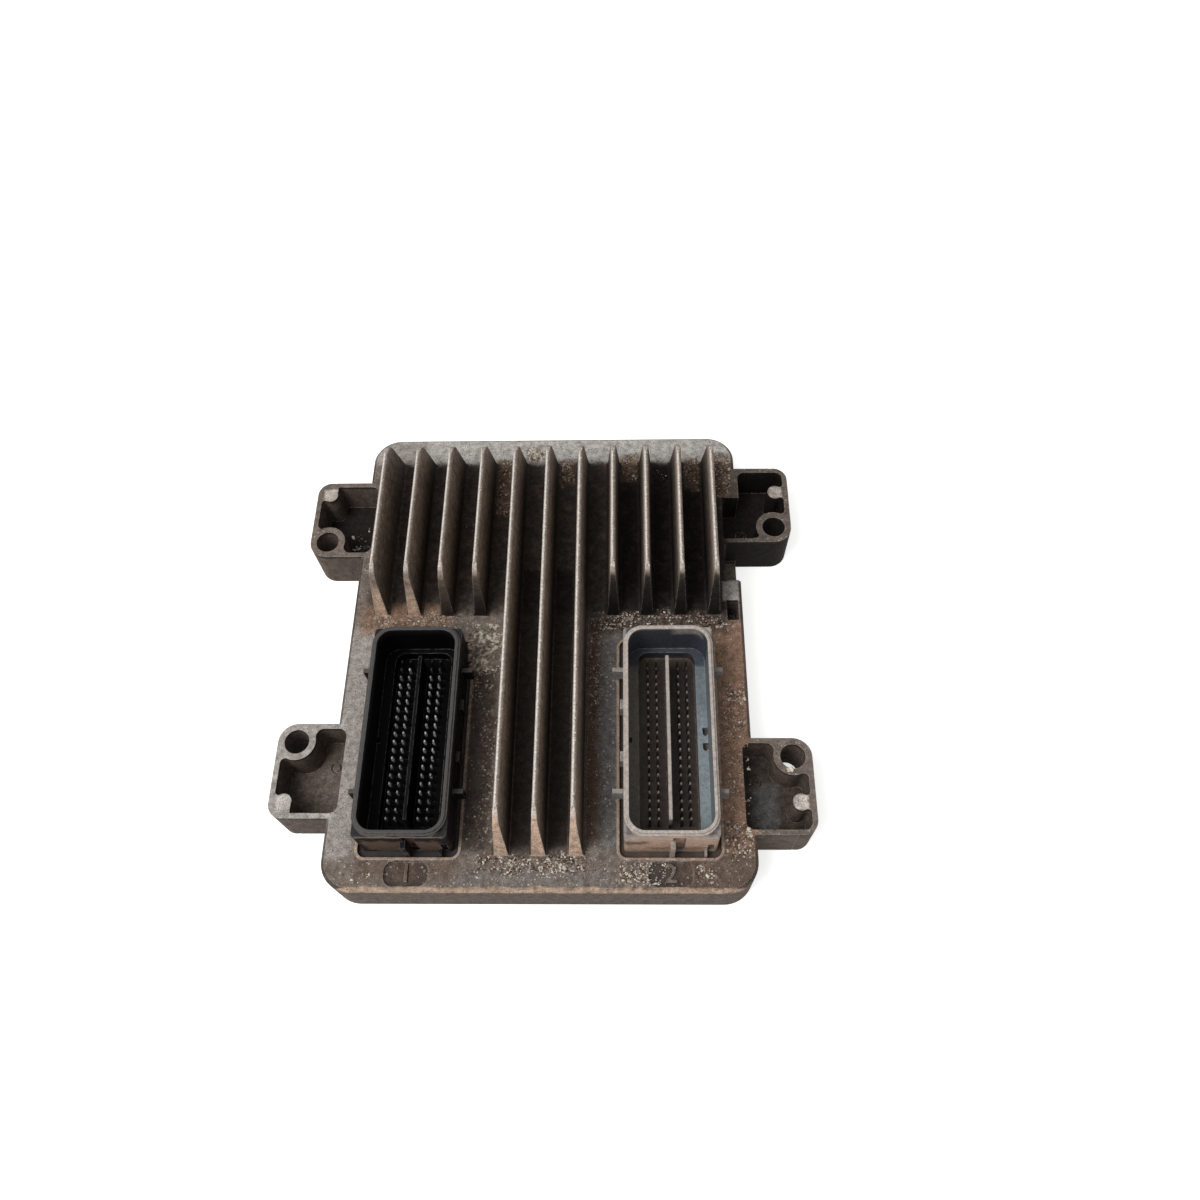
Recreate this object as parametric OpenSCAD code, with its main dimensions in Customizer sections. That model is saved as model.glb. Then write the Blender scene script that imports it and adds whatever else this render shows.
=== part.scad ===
// Engine control unit: a finned die-cast housing with two pin headers, lying on its back cover.
// X runs across the fins, Y along them, Z up from the plane that the ears are bolted to.

/* [Housing] */
// Width of the housing over its side walls
body_w = 123.6; // [123:0.2:125]
// Length of the housing over its end walls
body_l = 155; // [154.5:0.5:157]
// Height of the deck above the mounting plane
deck_h = 16.5; // [16.2:0.1:17.5]
// Thickness of the deck
deck_t = 3; // [2.6:0.1:3]
// Corner radius of the housing in plan
corner_r = 9; // [8:0.5:10]
// Chamfer along the edge of the deck
edge_c = 1; // [0.8:0.1:1.8]

/* [Fins] */
// Number of fins
fin_count = 11; // [9:2:11]
// Number of middle fins that run on between the headers
long_count = 3; // [1:2:3]
// Distance from fin to fin
fin_pitch = 10.5; // [10:0.1:10.6]
// Height of the fins above the deck
fin_h = 19.5; // [16:0.5:22]
// Thickness of a fin at its root
fin_root_t = 4; // [3:0.1:4.5]
// Thickness of a fin at its crest
fin_crest_t = 1.4; // [1:0.1:2]
// Run of the slope at each end of a fin
fin_slope = 5.2; // [3:0.1:7]
// Radius of the bend from the crest of a fin into its sloped ends
fin_bend_r = 6; // [3:0.5:7]

/* [Headers] */
// Distance of each header from the middle plane
header_x = 37.15; // [37:0.05:37.5]
// Rim of a header across the pin columns
rim_w = 26.2; // [26:0.1:26.6]
// Rim of a header along the pin columns
rim_l = 63; // [62.6:0.1:63.4]
// Height of the rim above the deck
rim_rise = 16.1; // [14:0.1:18]
// Wall of the header's shroud
rim_t = 1.45; // [1.2:0.05:1.6]
// Pitch of the pins
pin_pitch = 2.54; // [2.5:0.01:2.54]
// Pins in a column
pin_rows = 20; // [16:1:20]
// Gap between the two inner pin columns
column_gap = 6.5; // [6:0.1:7]
// Side of a square pin
pin_side = 0.64; // [0.5:0.02:0.7]

/* [Ears] */
// Distance of the bolt holes from the middle plane
hole_x = 73.6; // [73.4:0.1:74]
// Diameter of the bolt holes
hole_d = 7.4; // [6.6:0.1:7.8]
// Half the spacing of the two holes on the right side
right_hole_dy = 39.5; // [39:0.1:40]
// Half the spacing of the two holes on the left side
left_hole_dy = 34.8; // [34.4:0.1:35.2]
// Length of an ear
ear_l = 29; // [28.5:0.1:29.5]
// Wall round an ear's pocket
ear_t = 1.6; // [1.3:0.1:2]
// Half the spacing of the cast studs on either side
stud_dy = 53.2; // [52.8:0.1:53.4]

/* [Hidden] */
$fn = 48;
eps = 0.01;
through = 60;

// Levels above the mounting plane
cover_z = 0.6;
cover_t = 1.5;
seal_t = 0.8;
ledge_z = cover_z + cover_t + seal_t;
boss_end_z = 3.8;
board_z = 5;
board_t = 1.6;
board_top = board_z + board_t;
deck_under = deck_h - deck_t;
rim_z = deck_h + rim_rise;
floor_z = deck_h - 1.5;
pin_tip_z = deck_h + 6.5;
pin_tail_z = board_z - 1.6;

// Cavity, ledge and back cover
cavity_w = 110;
cavity_l = 143;
cavity_r = 6;
rebate_w = 116;
rebate_l = 149;
rebate_r = 7;
cover_gap = 0.3;
cover_w = rebate_w - 2 * cover_gap;
cover_l = rebate_l - 2 * cover_gap;
cover_r = rebate_r - cover_gap;
bead_x = [-30, 0, 30];
bead_w = 8;
bead_l = 100;
bead_depth = 0.8;
cup_r = 5;
cup_in_r = 3.6;
cup_gap = 0.5;
cover_screw_r = 1.5;
cover_boss_r = 4;
cover_screw_at = [[-50.5, 67], [0, 67.3], [50.5, 67], [-51, 3.8], [51, 3.8], [-17, -67.3], [17, -67.3]];
board_screw_at = [[-20, 4], [20, 4], [0, -60], [-48, 47], [48, 47]];
board_boss_r = 3.2;
board_screw_r = 1.2;
screw_gap = 0.05;
screw_play = 0.2;
head_t = 1.9;
socket_share = 0.55;
cover_head_r = 2.9;
cover_screw_l = 8;
board_head_r = 2.2;
board_screw_l = 7;

// Side bays that lighten the walls between the ears: side, start and end along Y
bays = [[-1, -20, 20], [1, -23, 2], [-1, 60, 66], [-1, -67, -62]];
bay_x = 58.4;

// Fin runs, measured along Y at the root
far_strip = 10.8;
near_strip = 10;
fin_far_y = body_l / 2 - far_strip;
fin_long_y = -body_l / 2 + near_strip;
fin_short_y = 8.4;
fin_flare = 0.7;

// Header openings, their raised lips and the marking recesses beside them
header_y = -34.4;
trough_w = 1.25;
trough_l = 2.1;
opening_w = rim_w + 2 * trough_w;
opening_l = rim_l + 2 * trough_l;
opening_r = 2.2;
lip_t = 0.8;
lip_h = 0.4;
mark_w = 12.6;
mark_l = 7;
mark_r = 2.8;
mark_depth = 0.8;
mark_gap = 0.2;
mark_y = header_y - opening_l / 2 - lip_t - mark_gap - mark_l / 2;

// Header details
rim_r = 6;
rim_step = 0.5;
rim_inset = 0.55;
skirt_r = 1;
skirt_z = rim_z - 2;
flange_gap = 0.7;
flange_w = opening_w - 2 * flange_gap;
flange_l = opening_l - 2 * flange_gap;
flange_t = 1.5;
flange_z = deck_under - flange_t;
bead_h = 1.9;
step_side = 3.05;
step_end = 1.5;
step_z = floor_z + 4.2;
web_t = 1;
web_l = 50;
web_z = pin_tip_z + 2;
column_x = [-column_gap / 2 - pin_pitch, -column_gap / 2, column_gap / 2, column_gap / 2 + pin_pitch];
latch_y = [-18, 19];
tab_y = [-8, 8];
key_depth = 1.6;
key_y = [-1.9, 2.8];
// Locating ribs and slots of the near wall: start along X, width, top
front_ribs = [[-0.3, 1.4, deck_h + 9.5], [9.4, 0.7, deck_h + 2.5]];
front_slots = [[0.4, 3.4, rim_z - 2.7], [10.2, 1.7, deck_h + 6.5]];

// Ears: side, direction away from the middle, inner edge of the pocket, fillet beside the boss
mount_mid_y = 1.3;
ear_boss_r = 5.7;
ear_x = hole_x + ear_boss_r;
ear_corner_r = 4.5;
ear_floor_z = 4;
stud_x = 75;
stud_r = 2.5;
stud_web_t = 3;
stud_inset = 0.15;
pocket_r = 2.4;
boss_fillet = 1.6;
stud_fillet = 1.2;
fillet_bite = 0.08;
ejector_at = [64.2, 4];
ejector_r = 1.8;
ejector_core_r = 1.1;
ejector_depth = 0.6;
ears = [[1, 1, 62.7, 1.2], [1, -1, 58.9, 2.5], [-1, 1, 58.9, 2.5], [-1, -1, 58.9, 2.5]];

// Notches in the right edge of the deck
notch_x = 57;
notch_near_y = 20.9;
bay_pocket_y = [36.4, 52.4];
edge_pocket_y = [6.6, 13.6];
edge_pocket_x = [56.8, 60.4];
edge_pocket_z = 6;

// Parts on the board: size and place of the middle
mcu_size = [24, 24, 1.8];
mcu_at = [0, -30];
memory_size = [10, 11, 1.2];
memory_at = [18, 15.2];
supply_size = [10, 10, 2.2];
supply_at = [-18, 16];
driver_size = [11, 15.9, 2.6];
driver_at = [for (i = [0:5]) [-40 + 16 * i, 35]];
transistor_size = [6.6, 6.2, 2.3];
transistor_at = [for (i = [0:7]) [-42 + 12 * i, 56]];
pad_t = 0.8;
pedestal_w = 96;
driver_bar_l = 18;
transistor_bar_l = 10;
can_r = 4;
can_h = 6.2;
can_at = [[-44, 15], [-33, 15], [33, 15], [44, 15]];
coil_size = [12, 12, 5];
coil_at = [0, 15];
crystal_size = [11.2, 4.7, 3.5];
crystal_at = [0, -9];
transceiver_size = [4.9, 3.9, 1.5];
transceiver_at = [[-10, -51], [10, -51]];
chip_size = [1.6, 3.2, 1.5];
chip_at = concat([for (s = [-1, 1], i = [0:9]) [s * 18.6, -58 + 5.6 * i]],
    [for (i = [0:9]) [-40.5 + 9 * i, 24.4]]);
lead_t = 0.35;

function hole_y(side, dir) = mount_mid_y + dir * (side > 0 ? right_hole_dy : left_hole_dy);
function stud_v(side) = stud_dy - (side > 0 ? right_hole_dy : left_hole_dy);

// Points of an arc about a middle, in equal steps from one angle to another
function arc(middle, r, from, to, steps = 7) =
    [for (i = [0:steps]) let (a = from + (to - from) * i / steps) middle + r * [cos(a), sin(a)]];

// Flat outlines

module rounded_rect(w, l, r) {
    square([w - 2 * r, l], center = true);
    square([w, l - 2 * r], center = true);
    for (sx = [-1, 1], sy = [-1, 1])
        translate([sx * (w / 2 - r), sy * (l / 2 - r)]) circle(r);
}

module rounded_plate(w, l, h, r) {
    linear_extrude(h) rounded_rect(w, l, r);
}

module box_at(low, high) {
    translate(low) cube(high - low);
}

// A block with round corners in plan and a chamfer round its top edge
module chamfered_block(w, l, h, r, c) {
    edge = [[0, 0], [0, h - c], [c, h]];
    for (sx = [-1, 1], sy = [-1, 1])
        translate([sx * (w / 2 - r), sy * (l / 2 - r), 0]) {
            cylinder(r = r, h = h - c);
            translate([0, 0, h - c]) cylinder(r1 = r, r2 = r - c, h = c);
        }
    rotate([90, 0, 0]) translate([0, 0, -l / 2 + r]) linear_extrude(l - 2 * r) bar_section(w, edge);
    rotate([90, 0, 90]) translate([0, 0, -w / 2 + r]) linear_extrude(w - 2 * r) bar_section(l, edge);
}

// Section of a bar: the given left edge and its mirror image
module bar_section(w, edge) {
    right = [for (i = [len(edge) - 1:-1:0]) [w / 2 - edge[i][0], edge[i][1]]];
    polygon(concat([for (p = edge) [p[0] - w / 2, p[1]]], right));
}

// Housing

module fin_section() {
    crest_r = fin_crest_t / 2;
    translate([0, fin_h - crest_r]) circle(crest_r);
    bar_section(fin_root_t + 2 * fin_flare, [[0, -1], [0, 0], [fin_flare, fin_flare],
        [fin_root_t / 2 + fin_flare - crest_r, fin_h - crest_r]]);
}

// Side outline of a fin: a slope at each end that bends into the crest
module fin_side(near_y) {
    lean = atan(fin_slope / fin_h);
    reach = fin_bend_r / tan(45 + lean / 2);
    bend_z = fin_h - fin_bend_r;
    far_bend = arc([fin_far_y - fin_slope - reach, bend_z], fin_bend_r, lean, 90);
    near_bend = arc([near_y + fin_slope + reach, bend_z], fin_bend_r, 90, 180 - lean);
    polygon(concat([[near_y, 0], [near_y, -1], [fin_far_y, -1], [fin_far_y, 0]], far_bend, near_bend));
}

// Drafted fin from near_y to the common far end
module fin(x, near_y) {
    translate([x, 0, deck_h]) intersection() {
        rotate([90, 0, 0]) translate([0, 0, -body_l / 2]) linear_extrude(body_l) fin_section();
        rotate([90, 0, 90]) translate([0, 0, -fin_root_t]) linear_extrude(2 * fin_root_t) fin_side(near_y);
    }
}

module fins() {
    middle = (fin_count - 1) / 2;
    for (i = [0:fin_count - 1])
        fin((i - middle) * fin_pitch, abs(i - middle) <= (long_count - 1) / 2 ? fin_long_y : fin_short_y);
}

// Stands its child beside the right wall, with Y from the bolt hole towards the ear's far end
module place_ear(side, dir) {
    translate([0, hole_y(side, dir), 0])
        mirror([side < 0 ? 1 : 0, 0, 0]) mirror([0, dir < 0 ? 1 : 0, 0]) children();
}

module ear_outline() {
    root_x = body_w / 2 - corner_r;
    far_y = ear_l - ear_boss_r;
    translate([root_x, -ear_boss_r]) square([hole_x - root_x, ear_l]);
    translate([root_x, 0]) square([ear_x - root_x, far_y - ear_corner_r]);
    translate([hole_x, 0]) circle(ear_boss_r);
    translate([ear_x - ear_corner_r, far_y - ear_corner_r]) circle(ear_corner_r);
}

// Pocket of an ear, leaving the bolt boss and the cast stud with their webs
module ear_pocket_outline(side, inner_x, low_fillet) {
    low = [inner_x, -ear_boss_r + ear_t];
    high = [ear_x - ear_t, ear_l - ear_boss_r - ear_t];
    difference() {
        translate((low + high) / 2) rounded_rect(high[0] - low[0], high[1] - low[1], pocket_r);
        translate([hole_x, 0]) bolt_boss_outline(low_fillet);
        translate([stud_x, stud_v(side)]) stud_outline();
        if (side < 0) translate([stud_x - stud_r + stud_inset, stud_v(side)]) square(ear_l);
    }
}

// Fillet between a round at the origin and a wall across the X axis, on the round's +Y side
module wall_fillet(round_r, wall_x, r) {
    x = wall_x - r + fillet_bite;
    middle = [x, sqrt(pow(round_r + r - fillet_bite, 2) - pow(x, 2))];
    curve = arc(middle, r, 0, atan2(middle[1], middle[0]) - 180);
    polygon(concat([[wall_x + 1, middle[1]]], curve, [[0, 0], [wall_x + 1, 0]]));
}

// Boss round a bolt hole, joined to the corner of the ear
module bolt_boss_outline(low_fillet) {
    wall_x = ear_boss_r - ear_t;
    circle(ear_boss_r);
    translate([0, -2 * ear_boss_r]) square(2 * ear_boss_r);
    wall_fillet(ear_boss_r, wall_x, boss_fillet);
    mirror([1, 0]) rotate(-90) wall_fillet(ear_boss_r, wall_x, low_fillet);
}

// Cast stud, joined to the outer wall of the ear
module stud_outline() {
    wall_x = ear_x - ear_t - stud_x;
    circle(stud_r);
    translate([0, -stud_web_t / 2]) square([ear_x, stud_web_t]);
    for (m = [0, 1]) mirror([0, m]) wall_fillet(stud_r, wall_x, stud_fillet);
}

module ear_pockets() {
    for (e = ears)
        place_ear(e[0], e[1]) translate([0, 0, ear_floor_z])
            linear_extrude(deck_h) ear_pocket_outline(e[0], e[2], e[3]);
}

// Round marks that the mould's ejectors left in the floors of the pockets
module ejector_marks() {
    for (e = ears)
        place_ear(e[0], e[1]) translate([ejector_at[0], ejector_at[1], ear_floor_z - ejector_depth])
            difference() {
                cylinder(r = ejector_r, h = 2 * ejector_depth);
                translate([0, 0, -1]) cylinder(r = ejector_core_r, h = through);
            }
}

module ear_bores() {
    for (e = ears)
        translate([e[0] * hole_x, hole_y(e[0], e[1]), -1]) cylinder(d = hole_d, h = through);
}

// Recesses in the right edge of the deck beside the last fin
module edge_notches() {
    box_at([notch_x, notch_near_y, ear_floor_z], [body_w / 2 + 1, hole_y(1, 1) - ear_boss_r, through]);
    box_at([notch_x, bay_pocket_y[0], ear_floor_z], [hole_x - ear_boss_r - 1, bay_pocket_y[1], through]);
    box_at([edge_pocket_x[0], edge_pocket_y[0], edge_pocket_z],
        [edge_pocket_x[1], edge_pocket_y[1], through]);
}

module header_places() {
    for (s = [-1, 1]) translate([s * header_x, header_y, 0]) children();
}

module header_openings() {
    header_places() translate([0, 0, -1]) rounded_plate(opening_w, opening_l, through, opening_r);
}

module header_lips() {
    header_places() translate([0, 0, deck_h - 1])
        rounded_plate(opening_w + 2 * lip_t, opening_l + 2 * lip_t, 1 + lip_h, opening_r + lip_t);
}

module marking_recesses() {
    for (s = [-1, 1]) translate([s * header_x, mark_y, deck_h - mark_depth])
        rounded_plate(mark_w, mark_l, deck_h, mark_r);
}

// Bosses and cooling bars that hang from the deck into the cavity
module cavity_islands() {
    driver_end = board_top + driver_size[2] + pad_t;
    transistor_end = board_top + transistor_size[2] + pad_t;
    for (p = cover_screw_at) translate([p[0], p[1], boss_end_z]) cylinder(r = cover_boss_r, h = through);
    for (p = board_screw_at) translate([p[0], p[1], board_top]) cylinder(r = board_boss_r, h = through);
    translate([-pedestal_w / 2, driver_at[0][1] - driver_bar_l / 2, driver_end])
        cube([pedestal_w, driver_bar_l, through]);
    translate([-pedestal_w / 2, transistor_at[0][1] - transistor_bar_l / 2, transistor_end])
        cube([pedestal_w, transistor_bar_l, through]);
}

module cavity() {
    difference() {
        union() {
            translate([0, 0, -1]) rounded_plate(cavity_w, cavity_l, deck_under + 1, cavity_r);
            for (b = bays)
                translate([b[0] * bay_x / 2, (b[1] + b[2]) / 2, ledge_z + deck_under / 2])
                    cube([bay_x, b[2] - b[1], deck_under - ledge_z], center = true);
        }
        cavity_islands();
    }
}

module screw_holes() {
    for (p = cover_screw_at) translate([p[0], p[1], -1]) cylinder(r = cover_screw_r, h = deck_under - 1);
    for (p = board_screw_at) translate([p[0], p[1], -1]) cylinder(r = board_screw_r, h = deck_under);
}

module housing() {
    color("#6f6961") difference() {
        union() {
            chamfered_block(body_w, body_l, deck_h, corner_r, edge_c);
            for (e = ears) place_ear(e[0], e[1]) linear_extrude(deck_h) ear_outline();
            fins();
            header_lips();
        }
        cavity();
        translate([0, 0, -1]) rounded_plate(rebate_w, rebate_l, ledge_z + 1, rebate_r);
        header_openings();
        marking_recesses();
        ear_pockets();
        ejector_marks();
        edge_notches();
        ear_bores();
        screw_holes();
    }
}

// Back cover: pressed sheet with a cup round each screw and three stiffening beads

module back_cover() {
    color("#85837e") difference() {
        union() {
            translate([0, 0, cover_z])
                rounded_plate(cover_w, cover_l, cover_t, cover_r);
            intersection() {
                for (p = cover_screw_at)
                    translate([p[0], p[1], cover_z]) cylinder(r = cup_r, h = boss_end_z - cover_z);
                rounded_plate(cavity_w - 2, cavity_l - 2, boss_end_z, cavity_r - 1);
            }
            for (x = bead_x) translate([x, 0, cover_z])
                rounded_plate(bead_w, bead_l, cover_t + bead_depth, bead_w / 2 - eps);
        }
        for (x = bead_x) translate([x, 0, cover_z - 1])
            rounded_plate(bead_w - 2 * cover_t, bead_l - 2 * cover_t, 1 + bead_depth,
                bead_w / 2 - cover_t - eps);
        for (p = cover_screw_at) translate([p[0], p[1], -1]) {
            cylinder(r = cup_in_r, h = 1 + boss_end_z - cover_t);
            cylinder(r = cover_screw_r + screw_play, h = through);
        }
    }
}

module cover_seal() {
    color("#2b2b2b") translate([0, 0, cover_z + cover_t]) difference() {
        rounded_plate(cover_w, cover_l, seal_t, cover_r);
        translate([0, 0, -1]) rounded_plate(cavity_w + 0.4, cavity_l + 0.4, seal_t + 2, cavity_r);
    }
}

// Screw driven upwards, with its head below the given level and a six-sided socket
module screw(r, head_r, length) {
    difference() {
        union() {
            translate([0, 0, -head_t]) cylinder(r = head_r, h = head_t);
            translate([0, 0, -eps]) cylinder(r = r, h = length);
        }
        translate([0, 0, -head_t - 1]) cylinder(r = head_r * socket_share, h = 2, $fn = 6);
    }
}

module cover_screws() {
    color("#9a9a98") for (p = cover_screw_at)
        translate([p[0], p[1], boss_end_z - cover_t])
            screw(cover_screw_r - screw_gap, cover_head_r, cover_screw_l);
}

module board_screws() {
    color("#9a9a98") for (p = board_screw_at)
        translate([p[0], p[1], board_z]) screw(board_screw_r - screw_gap, board_head_r, board_screw_l);
}

// Circuit board with holes for the pins and the screws

module pin_places() {
    for (x = column_x, i = [0:pin_rows - 1])
        translate([x, (i - (pin_rows - 1) / 2) * pin_pitch, 0]) children();
}

module circuit_board() {
    hole_r = 0.52;
    color("#2f5d3a") difference() {
        translate([0, 0, board_z]) rounded_plate(cavity_w - 2, cavity_l - 2, board_t, cavity_r - 1);
        for (p = cover_screw_at) translate([p[0], p[1], 0]) cylinder(r = cup_r + cup_gap, h = through);
        for (p = board_screw_at)
            translate([p[0], p[1], 0]) cylinder(r = board_screw_r + screw_play, h = through);
        header_places() pin_places() cylinder(r = hole_r, h = through, $fn = 16);
    }
}

// Pin header: square shroud with a round-cornered rim, a flange under the deck, a stepped socket
// and a web between the pin columns

module shroud_blank() {
    shoulder_z = rim_z - rim_step;
    translate([0, 0, board_top]) rounded_plate(rim_w, rim_l, skirt_z - board_top, skirt_r);
    translate([0, 0, skirt_z]) rounded_plate(rim_w, rim_l, shoulder_z - skirt_z, rim_r);
    translate([0, 0, shoulder_z])
        rounded_plate(rim_w - 2 * rim_inset, rim_l - 2 * rim_inset, rim_step, rim_r - rim_inset);
    translate([0, 0, flange_z]) rounded_plate(flange_w, flange_l, flange_t, opening_r - flange_gap);
}

// Latch ribs and keying tabs along the two long walls
module side_ribs() {
    rib_out = 3.2;
    rib_t = 1.3;
    rib_foot = deck_h + 4.5;
    rib_top = deck_h + 10;
    tab_out = 1;
    tab_t = 3;
    tab_foot = deck_h + 3;
    tab_top = deck_h + 8;
    for (s = [-1, 1]) {
        for (y = latch_y) box_at([min(s * (rim_w / 2 - 1), s * (rim_w / 2 + rib_out)), y, rib_foot],
            [max(s * (rim_w / 2 - 1), s * (rim_w / 2 + rib_out)), y + rib_t, rib_top]);
        for (y = tab_y) box_at([min(s * (rim_w / 2 - 1), s * (rim_w / 2 + tab_out)), y, tab_foot],
            [max(s * (rim_w / 2 - 1), s * (rim_w / 2 + tab_out)), y + tab_t, tab_top]);
    }
}

// Short locating ribs that bridge the trough in front of the near wall
module near_ribs() {
    play = 0.15;
    for (r = front_ribs)
        box_at([r[0], -rim_l / 2 - trough_l + play, deck_h - 1], [r[0] + r[1], -rim_l / 2 + 1, r[2]]);
}

// Slots in the face of the near wall
module near_slots() {
    slot_depth = 1.05;
    for (s = front_slots)
        box_at([s[0], -rim_l / 2 - 1, deck_h], [s[0] + s[1], -rim_l / 2 + slot_depth, s[2]]);
}

// Keying notches in the ledges beside the well, two pointed ones and a plain one
module key_notches(inner_w) {
    for (y = key_y) translate([inner_w / 2, y, step_z - key_depth]) linear_extrude(2 * key_depth)
        polygon([[-1.5, 1.3], [0, 1.3], [0, -0.6], [-0.75, -1.3], [-1.5, -0.6]]);
    box_at([-inner_w / 2, -0.5, step_z - key_depth], [-inner_w / 2 + 1.05, 1.1, step_z + 1]);
}

module header_socket() {
    inner_w = rim_w - 2 * rim_t;
    inner_l = rim_l - 2 * rim_t;
    inner_r = rim_r - rim_t;
    translate([0, 0, step_z]) rounded_plate(inner_w, inner_l, through, inner_r);
    translate([0, 0, floor_z])
        rounded_plate(inner_w - 2 * step_side, inner_l - 2 * step_end, through, inner_r - step_end);
    key_notches(inner_w);
}

module header() {
    difference() {
        union() {
            difference() {
                union() {
                    shroud_blank();
                    side_ribs();
                }
                header_socket();
                near_slots();
            }
            near_ribs();
            box_at([-web_t / 2, -web_l / 2, floor_z - 1], [web_t / 2, web_l / 2, web_z]);
        }
        pin_places() translate([-pin_side / 2, -pin_side / 2, 0]) cube([pin_side, pin_side, through]);
    }
}

module left_header() {
    color("#17171a") translate([-header_x, header_y, 0]) header();
}

module right_header() {
    color("#6d7076") translate([header_x, header_y, 0]) header();
}

// Square pins with a coined tip
module header_pins() {
    half = pin_side / 2;
    tip = 0.18;
    tip_l = 0.9;
    pin_places() rotate([90, 0, 0]) translate([0, 0, -half]) linear_extrude(pin_side)
        polygon([[-half, pin_tail_z], [half, pin_tail_z], [half, pin_tip_z - tip_l], [tip, pin_tip_z],
            [-tip, pin_tip_z], [-half, pin_tip_z - tip_l]]);
}

module left_header_pins() {
    color("#b9b6ab") translate([-header_x, header_y, 0]) header_pins();
}

module right_header_pins() {
    color("#b9b6ab") translate([header_x, header_y, 0]) header_pins();
}

// Bead of sealant that fills the foot of the trough round a header
module header_seal() {
    translate([0, 0, deck_under]) difference() {
        rounded_plate(opening_w, opening_l, bead_h, opening_r);
        translate([0, 0, -1]) rounded_plate(rim_w, rim_l, bead_h + 2, skirt_r);
    }
}

module left_header_seal() {
    color("#242322") translate([-header_x, header_y, 0]) header_seal();
}

module right_header_seal() {
    color("#242322") translate([header_x, header_y, 0]) header_seal();
}

// Parts on the board

module on_board(at) {
    translate([at[0], at[1], board_top]) children();
}

// Flat package with a bevelled top edge
module package(size, lift = 0) {
    bevel = min(size[2] * 0.4, 0.6);
    section = [[0, lift], [0, size[2] - bevel], [bevel, size[2]]];
    intersection() {
        rotate([90, 0, 0]) translate([0, 0, -size[1] / 2])
            linear_extrude(size[1]) bar_section(size[0], section);
        rotate([90, 0, 90]) translate([0, 0, -size[0] / 2])
            linear_extrude(size[0]) bar_section(size[1], section);
    }
}

// Rows of leads along X at both long sides of a package, each let into its wall
module leads(size, count, pitch, reach, lead_w) {
    let_in = 0.5;
    for (i = [0:count - 1], s = [-1, 1])
        translate([(i - (count - 1) / 2) * pitch, s * (size[1] + reach - let_in) / 2, lead_t / 2])
            cube([lead_w, reach + let_in, lead_t], center = true);
}

module leaded_chip(size, count, pitch, reach) {
    package(size, lead_t / 2);
    leads(size, count, pitch, reach, pitch * 0.4);
}

module microcontroller() {
    color("#1c1c1e") on_board(mcu_at) {
        leaded_chip(mcu_size, 22, 1, 1.6);
        rotate([0, 0, 90]) leads(mcu_size, 22, 1, 1.6, 0.4);
    }
}

module memory_chip() {
    color("#202022") on_board(memory_at) leaded_chip(memory_size, 8, 1.1, 1);
}

module power_supply_chip() {
    color("#1e1e20") on_board(supply_at) leaded_chip(supply_size, 9, 1, 1.2);
}

module driver_chips() {
    color("#212123") for (p = driver_at) on_board(p) {
        package(driver_size, lead_t / 2);
        rotate([0, 0, 90]) leads([driver_size[1], driver_size[0], 0], 10, 1.27, 1.3, 0.5);
    }
}

module power_transistors() {
    tab = [5.4, 8.6, 0.5];
    leg = [0.8, 4, 0.5];
    leg_x = 2.3;
    leg_reach = 2.4;
    near_y = -transistor_size[1] / 2;
    color("#232325") for (p = transistor_at) on_board(p) {
        package(transistor_size);
        translate([-tab[0] / 2, near_y + 0.5, 0]) cube(tab);
        for (s = [-1, 1]) translate([s * leg_x - leg[0] / 2, near_y - leg_reach, 0]) cube(leg);
    }
}

module thermal_pads() {
    color("#8fa3b0") {
        for (p = driver_at) on_board(p) translate([0, 0, driver_size[2] + pad_t / 2])
            cube([driver_size[0], driver_size[1], pad_t], center = true);
        for (p = transistor_at) on_board(p) translate([0, 0, transistor_size[2] + pad_t / 2])
            cube([transistor_size[0], transistor_size[1], pad_t], center = true);
    }
}

module electrolytic_capacitors() {
    base_t = 1;
    neck_r = can_r - 0.3;
    color("#a9abad") for (p = can_at) on_board(p) {
        translate([-can_r, -can_r, 0]) cube([2 * can_r, 2 * can_r, base_t]);
        cylinder(r = neck_r, h = base_t + 1);
        translate([0, 0, base_t + 0.8]) cylinder(r = can_r - 0.05, h = can_h - base_t - 0.8);
    }
}

module power_inductor() {
    base_t = 0.8;
    core_r = coil_size[0] / 2 - 0.4;
    color("#2a2a2c") on_board(coil_at) {
        rounded_plate(coil_size[0], coil_size[1], base_t, 1.5);
        cylinder(r = core_r - 0.8, h = coil_size[2]);
        translate([0, 0, coil_size[2] - base_t]) cylinder(r = core_r, h = base_t);
    }
}

module crystal() {
    base_t = 0.5;
    rim = 0.4;
    end_r = crystal_size[1] / 2 - eps;
    color("#b4b4b0") on_board(crystal_at) {
        rounded_plate(crystal_size[0], crystal_size[1], base_t, end_r);
        rounded_plate(crystal_size[0] - 2 * rim, crystal_size[1] - 2 * rim, crystal_size[2], end_r - rim);
    }
}

module transceiver_chips() {
    color("#1f1f21") for (p = transceiver_at) on_board(p) leaded_chip(transceiver_size, 4, 1.27, 1);
}

module chip_capacitors() {
    cap = 0.45;
    inset = 0.06;
    color("#b8a88c") for (p = chip_at) on_board(p) {
        translate([0, 0, chip_size[2] / 2])
            cube([chip_size[0] - inset, chip_size[1] - cap, chip_size[2] - inset], center = true);
        for (s = [-1, 1])
            translate([0, s * (chip_size[1] - cap) / 2, chip_size[2] / 2])
                cube([chip_size[0], cap, chip_size[2]], center = true);
    }
}

housing();
back_cover();
cover_seal();
cover_screws();
circuit_board();
board_screws();
left_header();
right_header();
left_header_pins();
right_header_pins();
left_header_seal();
right_header_seal();
microcontroller();
memory_chip();
power_supply_chip();
driver_chips();
power_transistors();
thermal_pads();
electrolytic_capacitors();
power_inductor();
crystal();
transceiver_chips();
chip_capacitors();
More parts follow.
